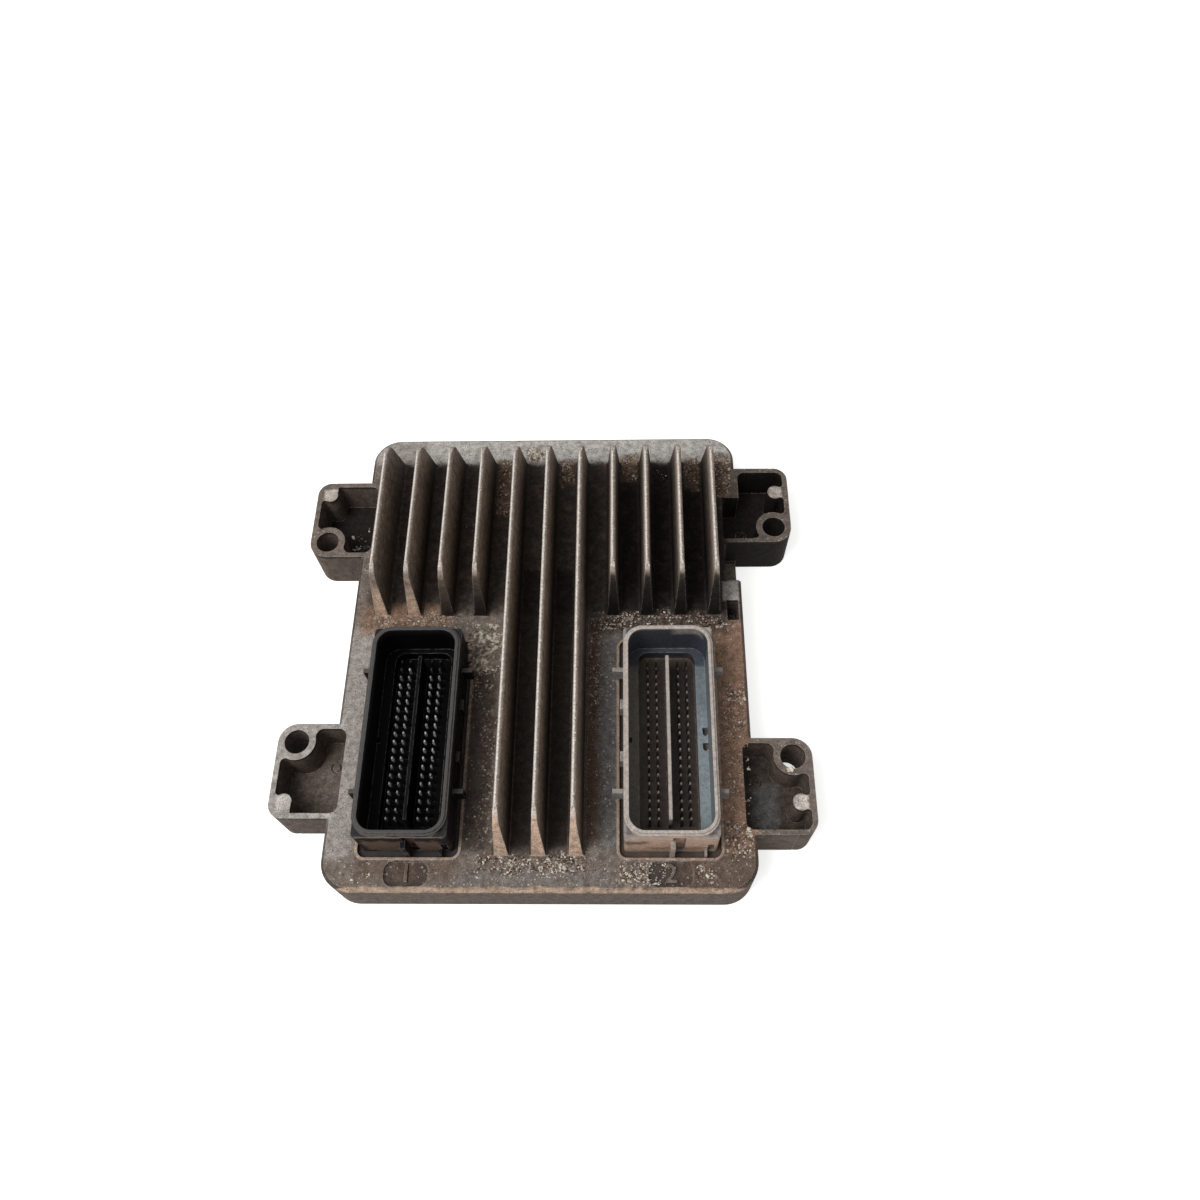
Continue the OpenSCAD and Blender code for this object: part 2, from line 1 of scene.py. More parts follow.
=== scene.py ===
"""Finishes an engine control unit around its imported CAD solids: casting, headers, dirt and stage."""

import math
import random

import bmesh
import bpy
from mathutils import Euler, Matrix, Vector, noise


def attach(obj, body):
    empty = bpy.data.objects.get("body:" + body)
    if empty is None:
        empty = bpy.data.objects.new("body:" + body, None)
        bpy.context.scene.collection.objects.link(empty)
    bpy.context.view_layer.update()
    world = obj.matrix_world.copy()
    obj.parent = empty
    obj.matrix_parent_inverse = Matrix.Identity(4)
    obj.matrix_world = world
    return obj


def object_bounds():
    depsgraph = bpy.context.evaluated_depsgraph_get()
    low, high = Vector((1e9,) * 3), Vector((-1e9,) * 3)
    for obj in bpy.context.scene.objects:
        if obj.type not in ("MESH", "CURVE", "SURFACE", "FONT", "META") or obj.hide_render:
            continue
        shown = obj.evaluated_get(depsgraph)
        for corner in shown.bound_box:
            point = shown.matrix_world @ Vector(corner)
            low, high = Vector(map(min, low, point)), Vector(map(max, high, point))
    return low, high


bl_info = {
    "name": "Engine control unit",
    "version": (1, 0, 0),
    "blender": (4, 5, 0),
    "location": "View3D > Sidebar > Control Unit",
    "description": "Finishes an engine control unit around its packed CAD solids",
    "category": "Object",
}

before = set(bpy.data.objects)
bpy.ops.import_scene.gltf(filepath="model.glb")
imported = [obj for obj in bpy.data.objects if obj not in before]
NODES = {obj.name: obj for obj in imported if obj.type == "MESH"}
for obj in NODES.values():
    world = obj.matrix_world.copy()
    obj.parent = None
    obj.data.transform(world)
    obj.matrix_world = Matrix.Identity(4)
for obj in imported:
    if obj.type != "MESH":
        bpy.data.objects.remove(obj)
CAD_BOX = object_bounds()
BODY = "root"

MM = 0.001

# Levels and places on the unit, in millimetres
DECK = 16.5
CREST = CAD_BOX[1].z / MM
HEADER_X = 37.15
HEADER_Y = -34.4
HEADER_END = 31.5
HEADER_RIM = 32.6
MARK_Y = -72.5
MARK_FLOOR = 15.7
LUMP_AT = (72.4, -42.3, DECK + 0.25)
LUMP_REACH = (1.0, 0.8, 0.55)

# Where the fins stand on the deck, as centre and reach in millimetres: all of them, then the long ones
ALL_FINS = ((0, 38, DECK), (58, 29.5, 2))
LONG_FINS = ((-3.75, -28, DECK), (16.25, 39, 2))

# Clusters of crumbs: crumbs to a cluster, its spread over the heap's size, share and size of large ones
CLUSTER = 9
CLUSTER_SPREAD = 0.16
LARGE_SHARE = 0.1
LARGE_SIZE = 2.0

# Numerals: text size over a numeral's height, bevel and weld in millimetres, sharp edge in degrees
TEXT_SIZE = 1.35
NUMERAL_BEVEL = 0.12
WELD = 0.005
SHARP_ANGLE = 35

# Corrosion crusts in millimetres: piece, centre, reach, seed
CRUSTS = [("left_crust", (-19.0, -2.5), (5.6, 9.6), 5), ("far_crust", (-5.6, 70.2), (3.0, 3.4), 9)]

# Cells to a millimetre of a crust's reach, its thickness, and how far a face sinks before it is cut away
CRUST_GRID = 9
CRUST_THICKNESS = 0.3
CRUST_SUNK = 0.05

# Floor and key light, with sizes and places in metres
FLOOR_SIZE = 6.0
FLOOR_LEVEL = -0.0002
FLOOR_GLOW = 0.7
KEY_AT = (-0.42, -0.28, 0.86)
KEY_SIZE = 0.55

# Camera: place in millimetres, angles in degrees, focal length and frame in pixels
CAMERA_AT = (25.379, -137.746, 303.647)
CAMERA_DOWN = 62.12
CAMERA_TURN = 3.29
CAMERA_ROLL = -3.2
FOCAL_PX = 1020.84
FRAME_PX = 1200
SENSOR_MM = 36.0


def tone(code):
    """Linear colour of a hexadecimal sRGB code."""
    parts = [int(code[i:i + 2], 16) / 255 for i in (1, 3, 5)]
    linear = [p / 12.92 if p <= 0.04045 else ((p + 0.055) / 1.055) ** 2.4 for p in parts]
    return (*linear, 1.0)


def mm(values):
    """Millimetres to metres."""
    return tuple(v * MM for v in values)


def colour(name, code, description):
    """Colour setting."""
    return bpy.props.FloatVectorProperty(
        name=name, description=description, subtype="COLOR", size=4, min=0, max=1, default=tone(code))


def share(name, default, description):
    """Setting from nothing to all."""
    return bpy.props.FloatProperty(
        name=name, description=description, subtype="FACTOR", min=0, max=1, default=default)


def length(name, default_mm, description):
    """Length setting, given in millimetres."""
    return bpy.props.FloatProperty(
        name=name, description=description, unit="LENGTH", min=0, precision=5, default=default_mm * MM)


class CastingLook(bpy.types.PropertyGroup):
    """Colours and wear of the die casting"""
    deck: colour("Deck", "#7d7269", "Open deck between its dirt")
    flank: colour("Flank", "#a49283", "Upper part of the fins' sides")
    wall: colour("Wall", "#6c6058", "Outer walls")
    # Root: dark grime, and also painted shade at the foot of the fins, on shaded deck, on shaded fin ends
    # and in the ear pockets
    root: colour("Root", "#332b27", "Foot of the fins")
    # Painted shade: near-black colour for the floors between the fins
    gap: colour("Gap", "#241f1c", "Floor of the gaps between the fins")
    gap_brown: colour("Brown gap", "#4d3b31", "Brown dirt on the floor of the gaps")
    pale: colour("Pale dust", "#bdb8b2", "Grey dust on the far strip and the left edge")
    brown: colour("Brown stain", "#9a7a66", "Rusty stain beside the right header")
    dim_brown: colour("Dim brown", "#655449", "Stain on the near deck")
    # Painted shadow of the last long fin on the deck beside it
    rust: colour("Rust", "#6f5748", "Rust washed along the foot of the last long fin")
    tan: colour("Tan dust", "#cdb09a", "Road dust on the near ends of the fins")
    clay: colour("Clay", "#8b6f5b", "Orange-brown dirt at the near ends of the left fins")
    # Black grime and painted shade: pockets, sides of the right fins and shaded fin ends
    soot: colour("Soot", "#151312", "Black grime in pockets and on shaded ends")
    # Painted sheen: blue-grey reflection and light painted on the deck
    steel_blue: colour("Blue film", "#797b7c", "Cool film on the deck beside the right header")
    # Painted shade: near-black for the floors between the right fins
    black: colour("Black gap", "#0b0a0a", "Grime between the right fins")
    charcoal: colour("Charcoal", "#413a36", "Floors of the marking recesses")
    litter_dark: colour("Dark litter", "#261e19", "Dark crumbs in the beds of litter")
    litter_mid: colour("Brown litter", "#7c6454", "Brown crumbs in the beds of litter")
    litter_pale: colour("Pale litter", "#e6ded2", "Pale crumbs in the beds of litter")
    # Worn edge: bare metal on edges, rims and stud tops, and on the crests partly painted highlight
    worn: colour("Worn edge", "#d2c8be", "Metal laid bare on crests and rims")
    # Painted highlights along the crests
    glint: colour("Glint", "#f0ebe4", "Fresh bright chips on the crests")
    # Strength of the crest wear and of the painted light on the crests
    crest_wear: share("Crest wear", 0.8, "Strength of the wear on the fin crests")
    edge_wear: share("Edge wear", 0.55, "Strength of the worn line along other edges")
    skin_depth: length("Skin depth", 0.16, "Depth of the casting's rough skin")


class MouldingLook(bpy.types.PropertyGroup):
    """Colours of the headers, their pins and their sealant"""
    black: colour("Black moulding", "#141415", "Left header")
    tab: colour("Dusty tab", "#69625b", "Dust on the ribs beside the left header")
    # Painted shade: the inside of the left header darker than its moulding
    black_inside: colour("Black inside", "#060606", "Inside of the left header")
    black_edge: colour("Black edge", "#8a8684", "Rubbed edges of the left header")
    grey: colour("Grey moulding", "#8a8783", "Right header")
    grey_edge: colour("Grey edge", "#b6aba2", "Dusty rim and rubbed edges of the right header")
    dust: colour("Moulding dust", "#b99b87", "Dust on the near walls of the headers")
    foot: colour("Socket foot", "#40352f", "Dirt at the bottom of the right socket")
    # Painted light: the lit inner side of the right socket, blue-grey and lighter
    blue: colour("Blue inside", "#7d878b", "Lit inner side of the right socket")
    # Dust and painted shade on the inner sides of the right socket
    umber: colour("Umber inside", "#5c534c", "Dusty inner side of the right socket")
    shank: colour("Shank", "#1a1614", "Shaded shanks of the left pins")
    brown_shank: colour("Brown shank", "#3d322c", "Dirty shanks of the right pins")
    # Painted shade: dark blue-grey on the far inner wall of the right socket
    navy: colour("Navy film", "#343a44", "Dark film on the far inner wall of the right socket")
    tin: colour("Tin", "#f4f3ef", "Bright pins")
    dull_tin: colour("Dull tin", "#a2968b", "Tarnished tips")
    # Black sealant, darkened as painted shade in the trough round the left header
    black_seal: colour("Black sealant", "#171514", "Bead round the left header")
    black_mottle: colour("Black mottle", "#262120", "Mottling of the black sealant")
    brown_seal: colour("Brown sealant", "#4d4139", "Bead round the right header")
    brown_mottle: colour("Brown mottle", "#3d3028", "Mottling of the brown sealant")


class DirtLook(bpy.types.PropertyGroup):
    """Loose dirt and corrosion"""
    salt: colour("Salt", "#e2d8c8", "Pale crumbs of salt and corrosion")
    grit: colour("Grit", "#8a7565", "Brown crumbs of road dirt")
    soil: colour("Soil", "#4a3a2f", "Dark crumbs of road dirt")
    crust: colour("Crust", "#d8d4c4", "Pale flakes of corrosion beside the fins")
    crack: colour("Crack", "#7d7566", "Hollows between the flakes")
    crumb: length("Crumb", 0.27, "Radius of an average crumb")
    rise: length("Crust rise", 0.5, "Height of the crust above the deck")


class MarkLook(bpy.types.PropertyGroup):
    """Numerals in the two marking recesses"""
    height: length("Height", 5.4, "Height of a numeral")
    relief: length("Relief", 0.5, "Height of a numeral above the floor of its recess")


class StageLook(bpy.types.PropertyGroup):
    """Light, floor and camera"""
    key_power: bpy.props.FloatProperty(
        name="Key light", description="Power of the large soft light", unit="POWER", min=0, default=7.6)
    sky: bpy.props.FloatProperty(
        name="Sky", description="Strength of the even light from all round", min=0, default=0.34)
    floor: colour("Floor", "#e6e6e4", "Plain floor")


class ControlUnit(bpy.types.PropertyGroup):
    """Settings of the engine control unit"""
    casting: bpy.props.PointerProperty(type=CastingLook)
    moulding: bpy.props.PointerProperty(type=MouldingLook)
    dirt: bpy.props.PointerProperty(type=DirtLook)
    mark: bpy.props.PointerProperty(type=MarkLook)
    stage: bpy.props.PointerProperty(type=StageLook)


class Tree:
    """Lays and links the nodes of one material or node group."""

    def __init__(self, tree):
        self.tree = tree

    def node(self, kind, *values, **options):
        """Adds a node, sets its options and fills its inputs in order; None leaves an input alone."""
        made = self.tree.nodes.new("ShaderNode" + kind)
        for name, value in options.items():
            setattr(made, name, value)
        for socket, value in zip(made.inputs, values):
            self.fill(socket, value)
        return made

    def fill(self, socket, value):
        """Links a socket, or sets its value."""
        if isinstance(value, bpy.types.NodeSocket):
            self.tree.links.new(value, socket)
        elif value is not None:
            socket.default_value = value

    def math(self, operation, *values):
        """Math held between 0 and 1."""
        return self.node("Math", *values, operation=operation, use_clamp=True).outputs[0]

    def plain_math(self, operation, *values):
        """Math without a clamp."""
        return self.node("Math", *values, operation=operation).outputs[0]

    def product(self, first, *others):
        """Masks multiplied in order, held between 0 and 1."""
        for other in others:
            first = self.math("MULTIPLY", first, other)
        return first

    def ramp(self, value, low, high):
        """Smooth step from 0 at low to 1 at high; low may be the larger."""
        return self.node("MapRange", value, low, high, 0.0, 1.0, interpolation_type="SMOOTHSTEP").outputs[0]

    def blend(self, mask, first, second, mode="MIX"):
        """First where the mask is 0, second where it is 1."""
        mixer = self.node("Mix", data_type="RGBA", blend_type=mode)
        for socket, value in ((0, mask), (6, first), (7, second)):
            self.fill(mixer.inputs[socket], value)
        return mixer.outputs[2]

    def clouds(self, place, scale, detail=4.0, rough=0.55):
        """Cloudy noise, its scale per metre."""
        return self.node("TexNoise", place, None, scale, detail, rough).outputs[0]

    def use(self, lay, **inputs):
        """Places a node group, which its function lays on first use, and returns its outputs."""
        name = lay.__name__.replace("_", " ").title()
        made = self.node("Group", node_tree=bpy.data.node_groups.get(name) or lay(name))
        for socket, value in inputs.items():
            self.fill(made.inputs[socket], value)
        return made.outputs


PLACE_SOCKET = ("Place", "Vector", (0, 0, 0))


def shader_group(name, inputs, outputs):
    """An empty shader group with named sockets: its tree, what comes in and where it goes out."""
    group = bpy.data.node_groups.new(name, "ShaderNodeTree")
    for socket, kind, value in inputs:
        made = group.interface.new_socket(name=socket, in_out="INPUT", socket_type="NodeSocket" + kind)
        made.default_value = value
    for socket, kind in outputs:
        group.interface.new_socket(name=socket, in_out="OUTPUT", socket_type="NodeSocket" + kind)
    into = group.nodes.new("NodeGroupInput").outputs
    out_of = group.nodes.new("NodeGroupOutput").inputs
    return Tree(group), into, out_of


def ragged_patch(name):
    """Group: a soft box whose border wanders with a drift."""
    tree, into, out_of = shader_group(name, [
        PLACE_SOCKET, ("Drift", "Vector", (0, 0, 0)), ("Centre", "Vector", (0, 0, 0)),
        ("Reach", "Vector", (0.01,) * 3), ("Soft", "Float", 0.001), ("Ragged", "Float", 0.002)],
        [("Mask", "Float")])
    shift = tree.node("VectorMath", into["Drift"], operation="SCALE")
    tree.fill(shift.inputs["Scale"], into["Ragged"])
    moved = tree.node("VectorMath", into["Place"], shift.outputs[0], operation="ADD").outputs[0]
    off = tree.node("VectorMath", moved, into["Centre"], operation="SUBTRACT").outputs[0]
    off = tree.node("VectorMath", off, operation="ABSOLUTE").outputs[0]
    off = tree.node("VectorMath", off, into["Reach"], operation="SUBTRACT").outputs[0]
    axes = tree.node("SeparateXYZ", off).outputs
    far = tree.plain_math("MAXIMUM", tree.plain_math("MAXIMUM", axes[0], axes[1]), axes[2])
    inner = tree.plain_math("MULTIPLY", into["Soft"], -1.0)
    tree.fill(out_of["Mask"], tree.ramp(far, into["Soft"], inner))
    return tree.tree


def edge_wear(name):
    """Group: edges found by a rounded normal, broken up by grain."""
    tree, into, out_of = shader_group(name, [
        PLACE_SOCKET, ("Width", "Float", 0.0004), ("Grain", "Float", 900.0)],
        [("Mask", "Float"), ("Normal", "Vector")])
    rounded = tree.node("Bevel", into["Width"], samples=3).outputs[0]
    flat = tree.node("NewGeometry").outputs["Normal"]
    agree = tree.node("VectorMath", rounded, flat, operation="DOT_PRODUCT").outputs["Value"]
    edge = tree.ramp(agree, 0.985, 0.8)
    chips = tree.ramp(tree.clouds(into["Place"], into["Grain"], 5.0, 0.6), 0.36, 0.56)
    tree.fill(out_of["Mask"], tree.product(edge, chips))
    tree.fill(out_of["Normal"], rounded)
    return tree.tree


def rough_skin(name):
    """Group: height and mottling of a rough cast or moulded skin."""
    tree, into, out_of = shader_group(name, [
        PLACE_SOCKET, ("Coarse", "Float", 420.0), ("Fine", "Float", 2400.0)],
        [("Height", "Float"), ("Mottle", "Float"), ("Grain", "Float")])
    coarse = tree.clouds(into["Place"], into["Coarse"], 6.0, 0.62)
    fine = tree.clouds(into["Place"], into["Fine"], 3.0, 0.6)
    pits = tree.node("TexVoronoi", into["Place"], None, into["Coarse"]).outputs["Distance"]
    height = tree.plain_math("MULTIPLY_ADD", fine, 0.4, tree.plain_math("MULTIPLY", coarse, 0.8))
    tree.fill(out_of["Height"], tree.plain_math("MULTIPLY_ADD", tree.ramp(pits, 0.0, 0.25), 0.25, height))
    tree.fill(out_of["Mottle"], tree.ramp(coarse, 0.3, 0.7))
    tree.fill(out_of["Grain"], tree.ramp(fine, 0.28, 0.72))
    return tree.tree


def speckle(name):
    """Group: separate specks, a given part of the cells holding one."""
    tree, into, out_of = shader_group(name, [
        PLACE_SOCKET, ("Scale", "Float", 700.0), ("Part", "Float", 0.2)],
        [("Mask", "Float")])
    cells = tree.node("TexVoronoi", into["Place"], None, into["Scale"]).outputs
    draw = tree.node("SeparateColor", cells["Color"]).outputs
    chosen = tree.plain_math("LESS_THAN", draw[0], into["Part"])
    reach = tree.plain_math("MULTIPLY_ADD", draw[1], 0.3, 0.12)
    spot = tree.ramp(tree.plain_math("SUBTRACT", cells["Distance"], reach), 0.08, -0.06)
    tree.fill(out_of["Mask"], tree.product(spot, chosen))
    return tree.tree


def litter(name):
    """Group: a bed of fine crumbs, each cell dark, middling or pale."""
    tree, into, out_of = shader_group(name, [
        PLACE_SOCKET, ("Scale", "Float", 2000.0), ("Dark", "Color", (0, 0, 0, 1)),
        ("Mid", "Color", (0.2, 0.2, 0.2, 1)), ("Pale", "Color", (1, 1, 1, 1))],
        [("Color", "Color"), ("Height", "Float")])
    cells = tree.node("TexVoronoi", into["Place"], None, into["Scale"]).outputs
    draw = tree.node("SeparateColor", cells["Color"]).outputs
    bed = tree.blend(tree.ramp(draw[0], 0.3, 0.7), into["Dark"], into["Mid"])
    tree.fill(out_of["Color"], tree.blend(tree.ramp(draw[1], 0.8, 0.9), bed, into["Pale"]))
    dome = tree.ramp(cells["Distance"], 0.7, 0.0)
    tree.fill(out_of["Height"], tree.product(dome, draw[2]))
    return tree.tree


class Finish(Tree):
    """A material under way: its shader, its place on the piece and the way the surface faces."""

    def __init__(self, name):
        self.material = bpy.data.materials.new(name)
        self.material.use_nodes = True
        super().__init__(self.material.node_tree)
        self.shader = self.tree.nodes["Principled BSDF"]
        self.place = self.node("TexCoord").outputs["Object"]
        self.x, self.y, self.z = self.node("SeparateXYZ", self.place).outputs
        facing = self.node("SeparateXYZ", self.node("NewGeometry").outputs["Normal"]).outputs
        self.folded = self.node("CombineXYZ", self.plain_math("ABSOLUTE", self.x), self.y, self.z).outputs[0]
        self.up = self.ramp(facing[2], 0.6, 0.9)
        self.side = self.math("SUBTRACT", 1.0, self.up)
        self.near = self.ramp(facing[1], -0.2, -0.6)
        self.left = self.ramp(facing[0], 0.5, -0.1)
        self.far_left = self.ramp(facing[0], -0.3, -0.8)
        cloud = self.node("TexNoise", self.place, None, 260.0, 5.0, 0.62).outputs[1]
        self.drift = self.node("VectorMath", cloud, (0.5, 0.5, 0.5), operation="SUBTRACT").outputs[0]

    def box(self, centre, reach, soft, ragged, on=None, place=None):
        """Mask of a ragged box in millimetres, kept to one facing if that mask is given."""
        mask = self.use(
            ragged_patch, Place=place or self.place, Drift=self.drift, Centre=mm(centre),
            Reach=mm(reach), Soft=soft * MM, Ragged=ragged * MM)["Mask"]
        return mask if on is None else self.product(mask, on)

    def patch(self, coat, tint, centre, reach, soft, ragged, strength, on=None, place=None):
        """Tints the coat inside a ragged box."""
        mask = self.product(self.box(centre, reach, soft, ragged, on, place), strength)
        return self.blend(mask, coat, tint)

    def shade(self, coat, light):
        """Multiplies the coat by a varying light value."""
        return self.blend(1.0, coat, light, "MULTIPLY")

    def spread(self, value, low, high):
        """Stretches a mask over a range."""
        return self.node("MapRange", value, 0.0, 1.0, low, high).outputs[0]

    def close(self, coat, roughness, height, depth, metallic=None, normal=None):
        """Joins the coat, roughness and relief to the shader and gives the material."""
        bump = self.node("Bump")
        bump.inputs["Strength"].default_value = 1.0
        bump.inputs["Distance"].default_value = depth
        self.fill(bump.inputs["Height"], height)
        self.fill(bump.inputs["Normal"], normal)
        for name, value in (("Base Color", coat), ("Roughness", roughness),
                            ("Metallic", metallic), ("Normal", bump.outputs[0])):
            self.fill(self.shader.inputs[name], value)
        return self.material


def plain_finish(name, tint, mottle, scale, roughness, metallic=0.0, depth=0.03 * MM):
    """Material of one colour, mottled with another, for hidden and small pieces."""
    f = Finish(name)
    skin = f.use(rough_skin, Place=f.place, Coarse=scale, Fine=scale * 5)
    coat = f.blend(skin["Mottle"], mottle, tint)
    rough = f.spread(skin["Grain"], roughness - 0.06, min(1.0, roughness + 0.06))
    f.shader.inputs["Metallic"].default_value = metallic
    return f.close(coat, rough, skin["Height"], depth)


# Beds of fine crumbs on the deck: middle and reach across and along the fins, strength, clay under them
LITTER_BEDS = [
    ((-2, -69.6), (16, 2.6), 0.95, 0), ((26.6, -72), (4.4, 3.2), 0.9, 0),
    ((46.5, -72.4), (2.6, 2.6), 0.6, 0), ((-42, 6.3), (14, 3), 0.5, 0),
    ((37, 6.2), (20, 3.2), 0.85, 0), ((57.8, -24), (3.2, 9), 0.6, 0),
    ((57.5, -44), (2.6, 7), 0.35, 0), ((57, -63), (4, 5), 0.8, 0),
    ((-15.7, 57), (2.5, 11), 0.7, 0.75), ((5.2, 63), (2.4, 5), 0.8, 0.75),
    ((26.1, 65), (2.7, 5.5), 0.7, 0.75), ((47.1, 62.5), (2.7, 6.5), 0.7, 0.7),
    ((57.6, 62), (2.6, 8.5), 0.7, 0.7), ((-20, -8), (4, 12), 0.6, 0),
    ((-16, -45), (2.2, 22), 0.4, 0), ((15, -10), (2, 17), 0.45, 0), ((-5, 71), (4, 3), 0.8, 0),
]


def casting_stains(f, look):
    """Stains and painted shade and light of the casting: tint, centre, reach, soft border, ragged border,
    strength, facing, place.
    """
    up, side, near = f.up, f.side, f.near
    return [
        (look.worn, (75, 54.5, DECK), (2.1, 2.1, 1), 0.4, 1.5, 0.85, up, f.folded),
        (look.worn, (75, -51.9, DECK), (2.1, 2.1, 1), 0.4, 1.5, 0.85, up, f.folded),
        (look.charcoal, (HEADER_X, MARK_Y, MARK_FLOOR), (6.1, 3.3, 0.35), 0.25, 0.5, 0.85, up, f.folded),
        (look.wall, (0, 0, 7.5), (82, 80, 8), 0.5, 1, 0.9, side),
        # Painted shade on the sides of the right fins
        (look.soot, (38, 37, 23), (19.5, 31, 9), 3, 3, 0.6, side),
        # Painted shade on the floors between the right fins
        (look.black, (38.5, 37, DECK), (18.5, 29, 1.4), 2, 4, 0.85, up),
        # Painted sheen: a faint blue-grey reflection on the near deck
        (look.steel_blue, (-2, -73.5, DECK), (22, 2.4, 2), 1.5, 5, 0.25, up),
        (look.pale, (0, 73, DECK), (62, 5.6, 2), 1.5, 5, 0.95, up),
        (look.deck, (-52, 72, DECK), (9, 5, 2), 2, 6, 0.5, up),
        (look.pale, (-58, -32, DECK), (4.6, 36, 2), 2, 5, 0.5, up),
        (look.brown, (57.5, -31, DECK), (5.2, 37, 2), 1.5, 4, 0.9, up),
        (look.dim_brown, (51, -71, DECK), (11, 6, 2), 2.5, 5, 0.85, up),
        (look.dim_brown, (-37, -71, DECK), (14, 3, 2), 1.5, 5, 0.6, up),
        # Painted shadow of the last long fin on the deck
        (look.rust, (14.4, -28, DECK), (2.0, 35, 2), 1.4, 6, 0.8, up),
        # Painted light: the lit deck beside the right header painted blue-grey
        (look.steel_blue, (19.6, -32, DECK), (2.4, 33, 2), 1.4, 5, 0.6, up),
        # Painted shadow on the deck beside the right header
        (look.root, (17, -32, DECK), (5, 32, 2), 2, 5, 0.28, up),
        (look.deck, (-50.8, 40, 24), (1.7, 34, 9), 0.5, 1.5, 0.5, side),
        (look.clay, (-45, 7, DECK), (14, 5.4, 2), 2, 5, 0.8, up),
        # Painted shadow of the left header on the deck beside it
        (look.root, (-18.5, -38, DECK), (4, 28, 2), 1.5, 5, 0.75, up),
        # Painted shade on the floors between the long fins
        (look.gap, (0, -20, DECK), (10.2, 45, 1.4), 1.2, 4, 0.85, up),
        (look.root, (0, -64, DECK), (13, 3.5, 2), 1.5, 4, 0.6, up),
        (look.root, (36, 5.6, DECK), (22, 3.4, 2), 1.5, 5, 0.65, up),
        (look.tan, (0, -65, 26), (14, 7, 10), 0.7, 2, 0.95, near),
        # Painted shade on the near end of the third fin
        (look.root, (-31.5, 11, 24), (3, 6, 9), 1, 4, 0.6, near),
        (look.tan, (-47, 11, 21), (8, 6, 7), 4, 5, 0.97, near),
        # Painted shade on the near ends of the fourth fin and of the right fins
        (look.soot, (-21, 11, 25), (3, 6, 9), 1, 3, 0.75, near),
        (look.soot, (37, 11, 25), (20, 6, 9), 1, 3, 0.85, near),
        # Painted shade, with grime, in the ear pockets and on the upper right ear
        (look.soot, (70, 48, 8), (12, 17, 7.8), 0.6, 2, 0.95, side),
        (look.soot, (69, 50, 4), (12, 16, 2), 1, 2, 0.92, up),
        (look.soot, (-69, 45, 5), (11, 16, 3), 1.5, 5, 0.93, up),
        (look.root, (-69, -42, 4), (11, 16, 3), 2, 5, 0.3, up),
        (look.root, (69, -47, 4), (11, 16, 3), 2, 5, 0.72, up),
        (look.root, (70, 49, DECK), (11, 16, 0.6), 1, 3, 0.3, up),
        # Painted light: a blue-grey sheen on the lit floor of the lower right pocket
        (look.steel_blue, (66, -50, 4), (4, 7, 2), 1.5, 5, 0.5, up),
        (look.pale, (-70, -42, DECK), (10, 16, 0.6), 1, 3, 0.8, up),
        (look.pale, (58.3, 17, DECK), (2.6, 3.4, 1), 0.6, 1.5, 0.8, up),
        (look.tan, (0, -77.1, 16.0), (61, 0.8, 0.8), 0.5, 3, 0.7, None),
        (look.tan, (0, -34, 16.9), (60, 36, 0.12), 0.06, 0.1, 0.5, up),
    ]


def casting_coat(f, look):
    """Coat of the casting: flanks darker at their foot as painted shade, the deck, the gap floors painted
    dark as shade, and all stains with the painted shade and light among them.
    """
    broad = f.ramp(f.clouds(f.place, 70.0, 5.0), 0.3, 0.7)
    # Painted shade: the fins' sides darken from the crest down to their foot
    flank = f.blend(f.ramp(f.z, (DECK + 1) * MM, (CREST - 1) * MM), look.root, look.flank)
    flank = f.blend(f.product(broad, 0.3), flank, look.root)
    deck = f.blend(f.product(broad, 0.45), look.deck, look.wall)
    coat = f.blend(f.up, flank, deck)
    # Painted shade: the floors between the fins painted near-black, mottled with brown dirt
    gaps = f.box((0, 38, DECK), (57.5, 28.5, 1.2), 2, 5, f.up)
    floor = f.blend(f.ramp(f.clouds(f.place, 170.0, 4.0), 0.45, 0.7), look.gap, look.gap_brown)
    coat = f.blend(f.product(gaps, 0.92), coat, floor)
    # Stains, and painted shade and light, laid in order
    for stain in casting_stains(f, look):
        coat = f.patch(coat, *stain)
    return coat


def strew_litter(f, look, coat):
    """Strews the beds of fine crumbs: the coat with them, their height and the mask of where they lie."""
    bed = f.use(litter, Place=f.place, Scale=2100.0, Dark=look.litter_dark, Mid=look.litter_mid,
                Pale=look.litter_pale)
    lumps = f.ramp(f.clouds(f.place, 420.0, 5.0, 0.6), 0.4, 0.56)
    strewn = 0.0
    for (x, y), (rx, ry), strength, clay in LITTER_BEDS:
        heap = f.box((x, y, DECK), (rx, ry, 1), 1.2, 6, f.up)
        if clay:
            coat = f.blend(f.product(heap, clay), coat, look.clay)
        strewn = f.math("MAXIMUM", strewn, f.product(heap, strength))
    strewn = f.product(strewn, lumps)
    return f.blend(strewn, coat, bed["Color"]), bed["Height"], strewn


def strew_specks(f, look, coat, feet):
    """Strews pale specks on the open deck and dark ones all over."""
    high = f.ramp(f.z, (DECK - 1.5) * MM, (DECK - 1) * MM)
    open_deck = f.product(high, f.math("SUBTRACT", f.up, feet))
    pale_specks = f.use(speckle, Place=f.place, Scale=1150.0, Part=0.24)["Mask"]
    coat = f.blend(f.product(pale_specks, open_deck, 0.5), coat, look.pale)
    dark_specks = f.use(speckle, Place=f.place, Scale=1500.0, Part=0.34)["Mask"]
    return f.blend(f.product(dark_specks, 0.5), coat, look.root)


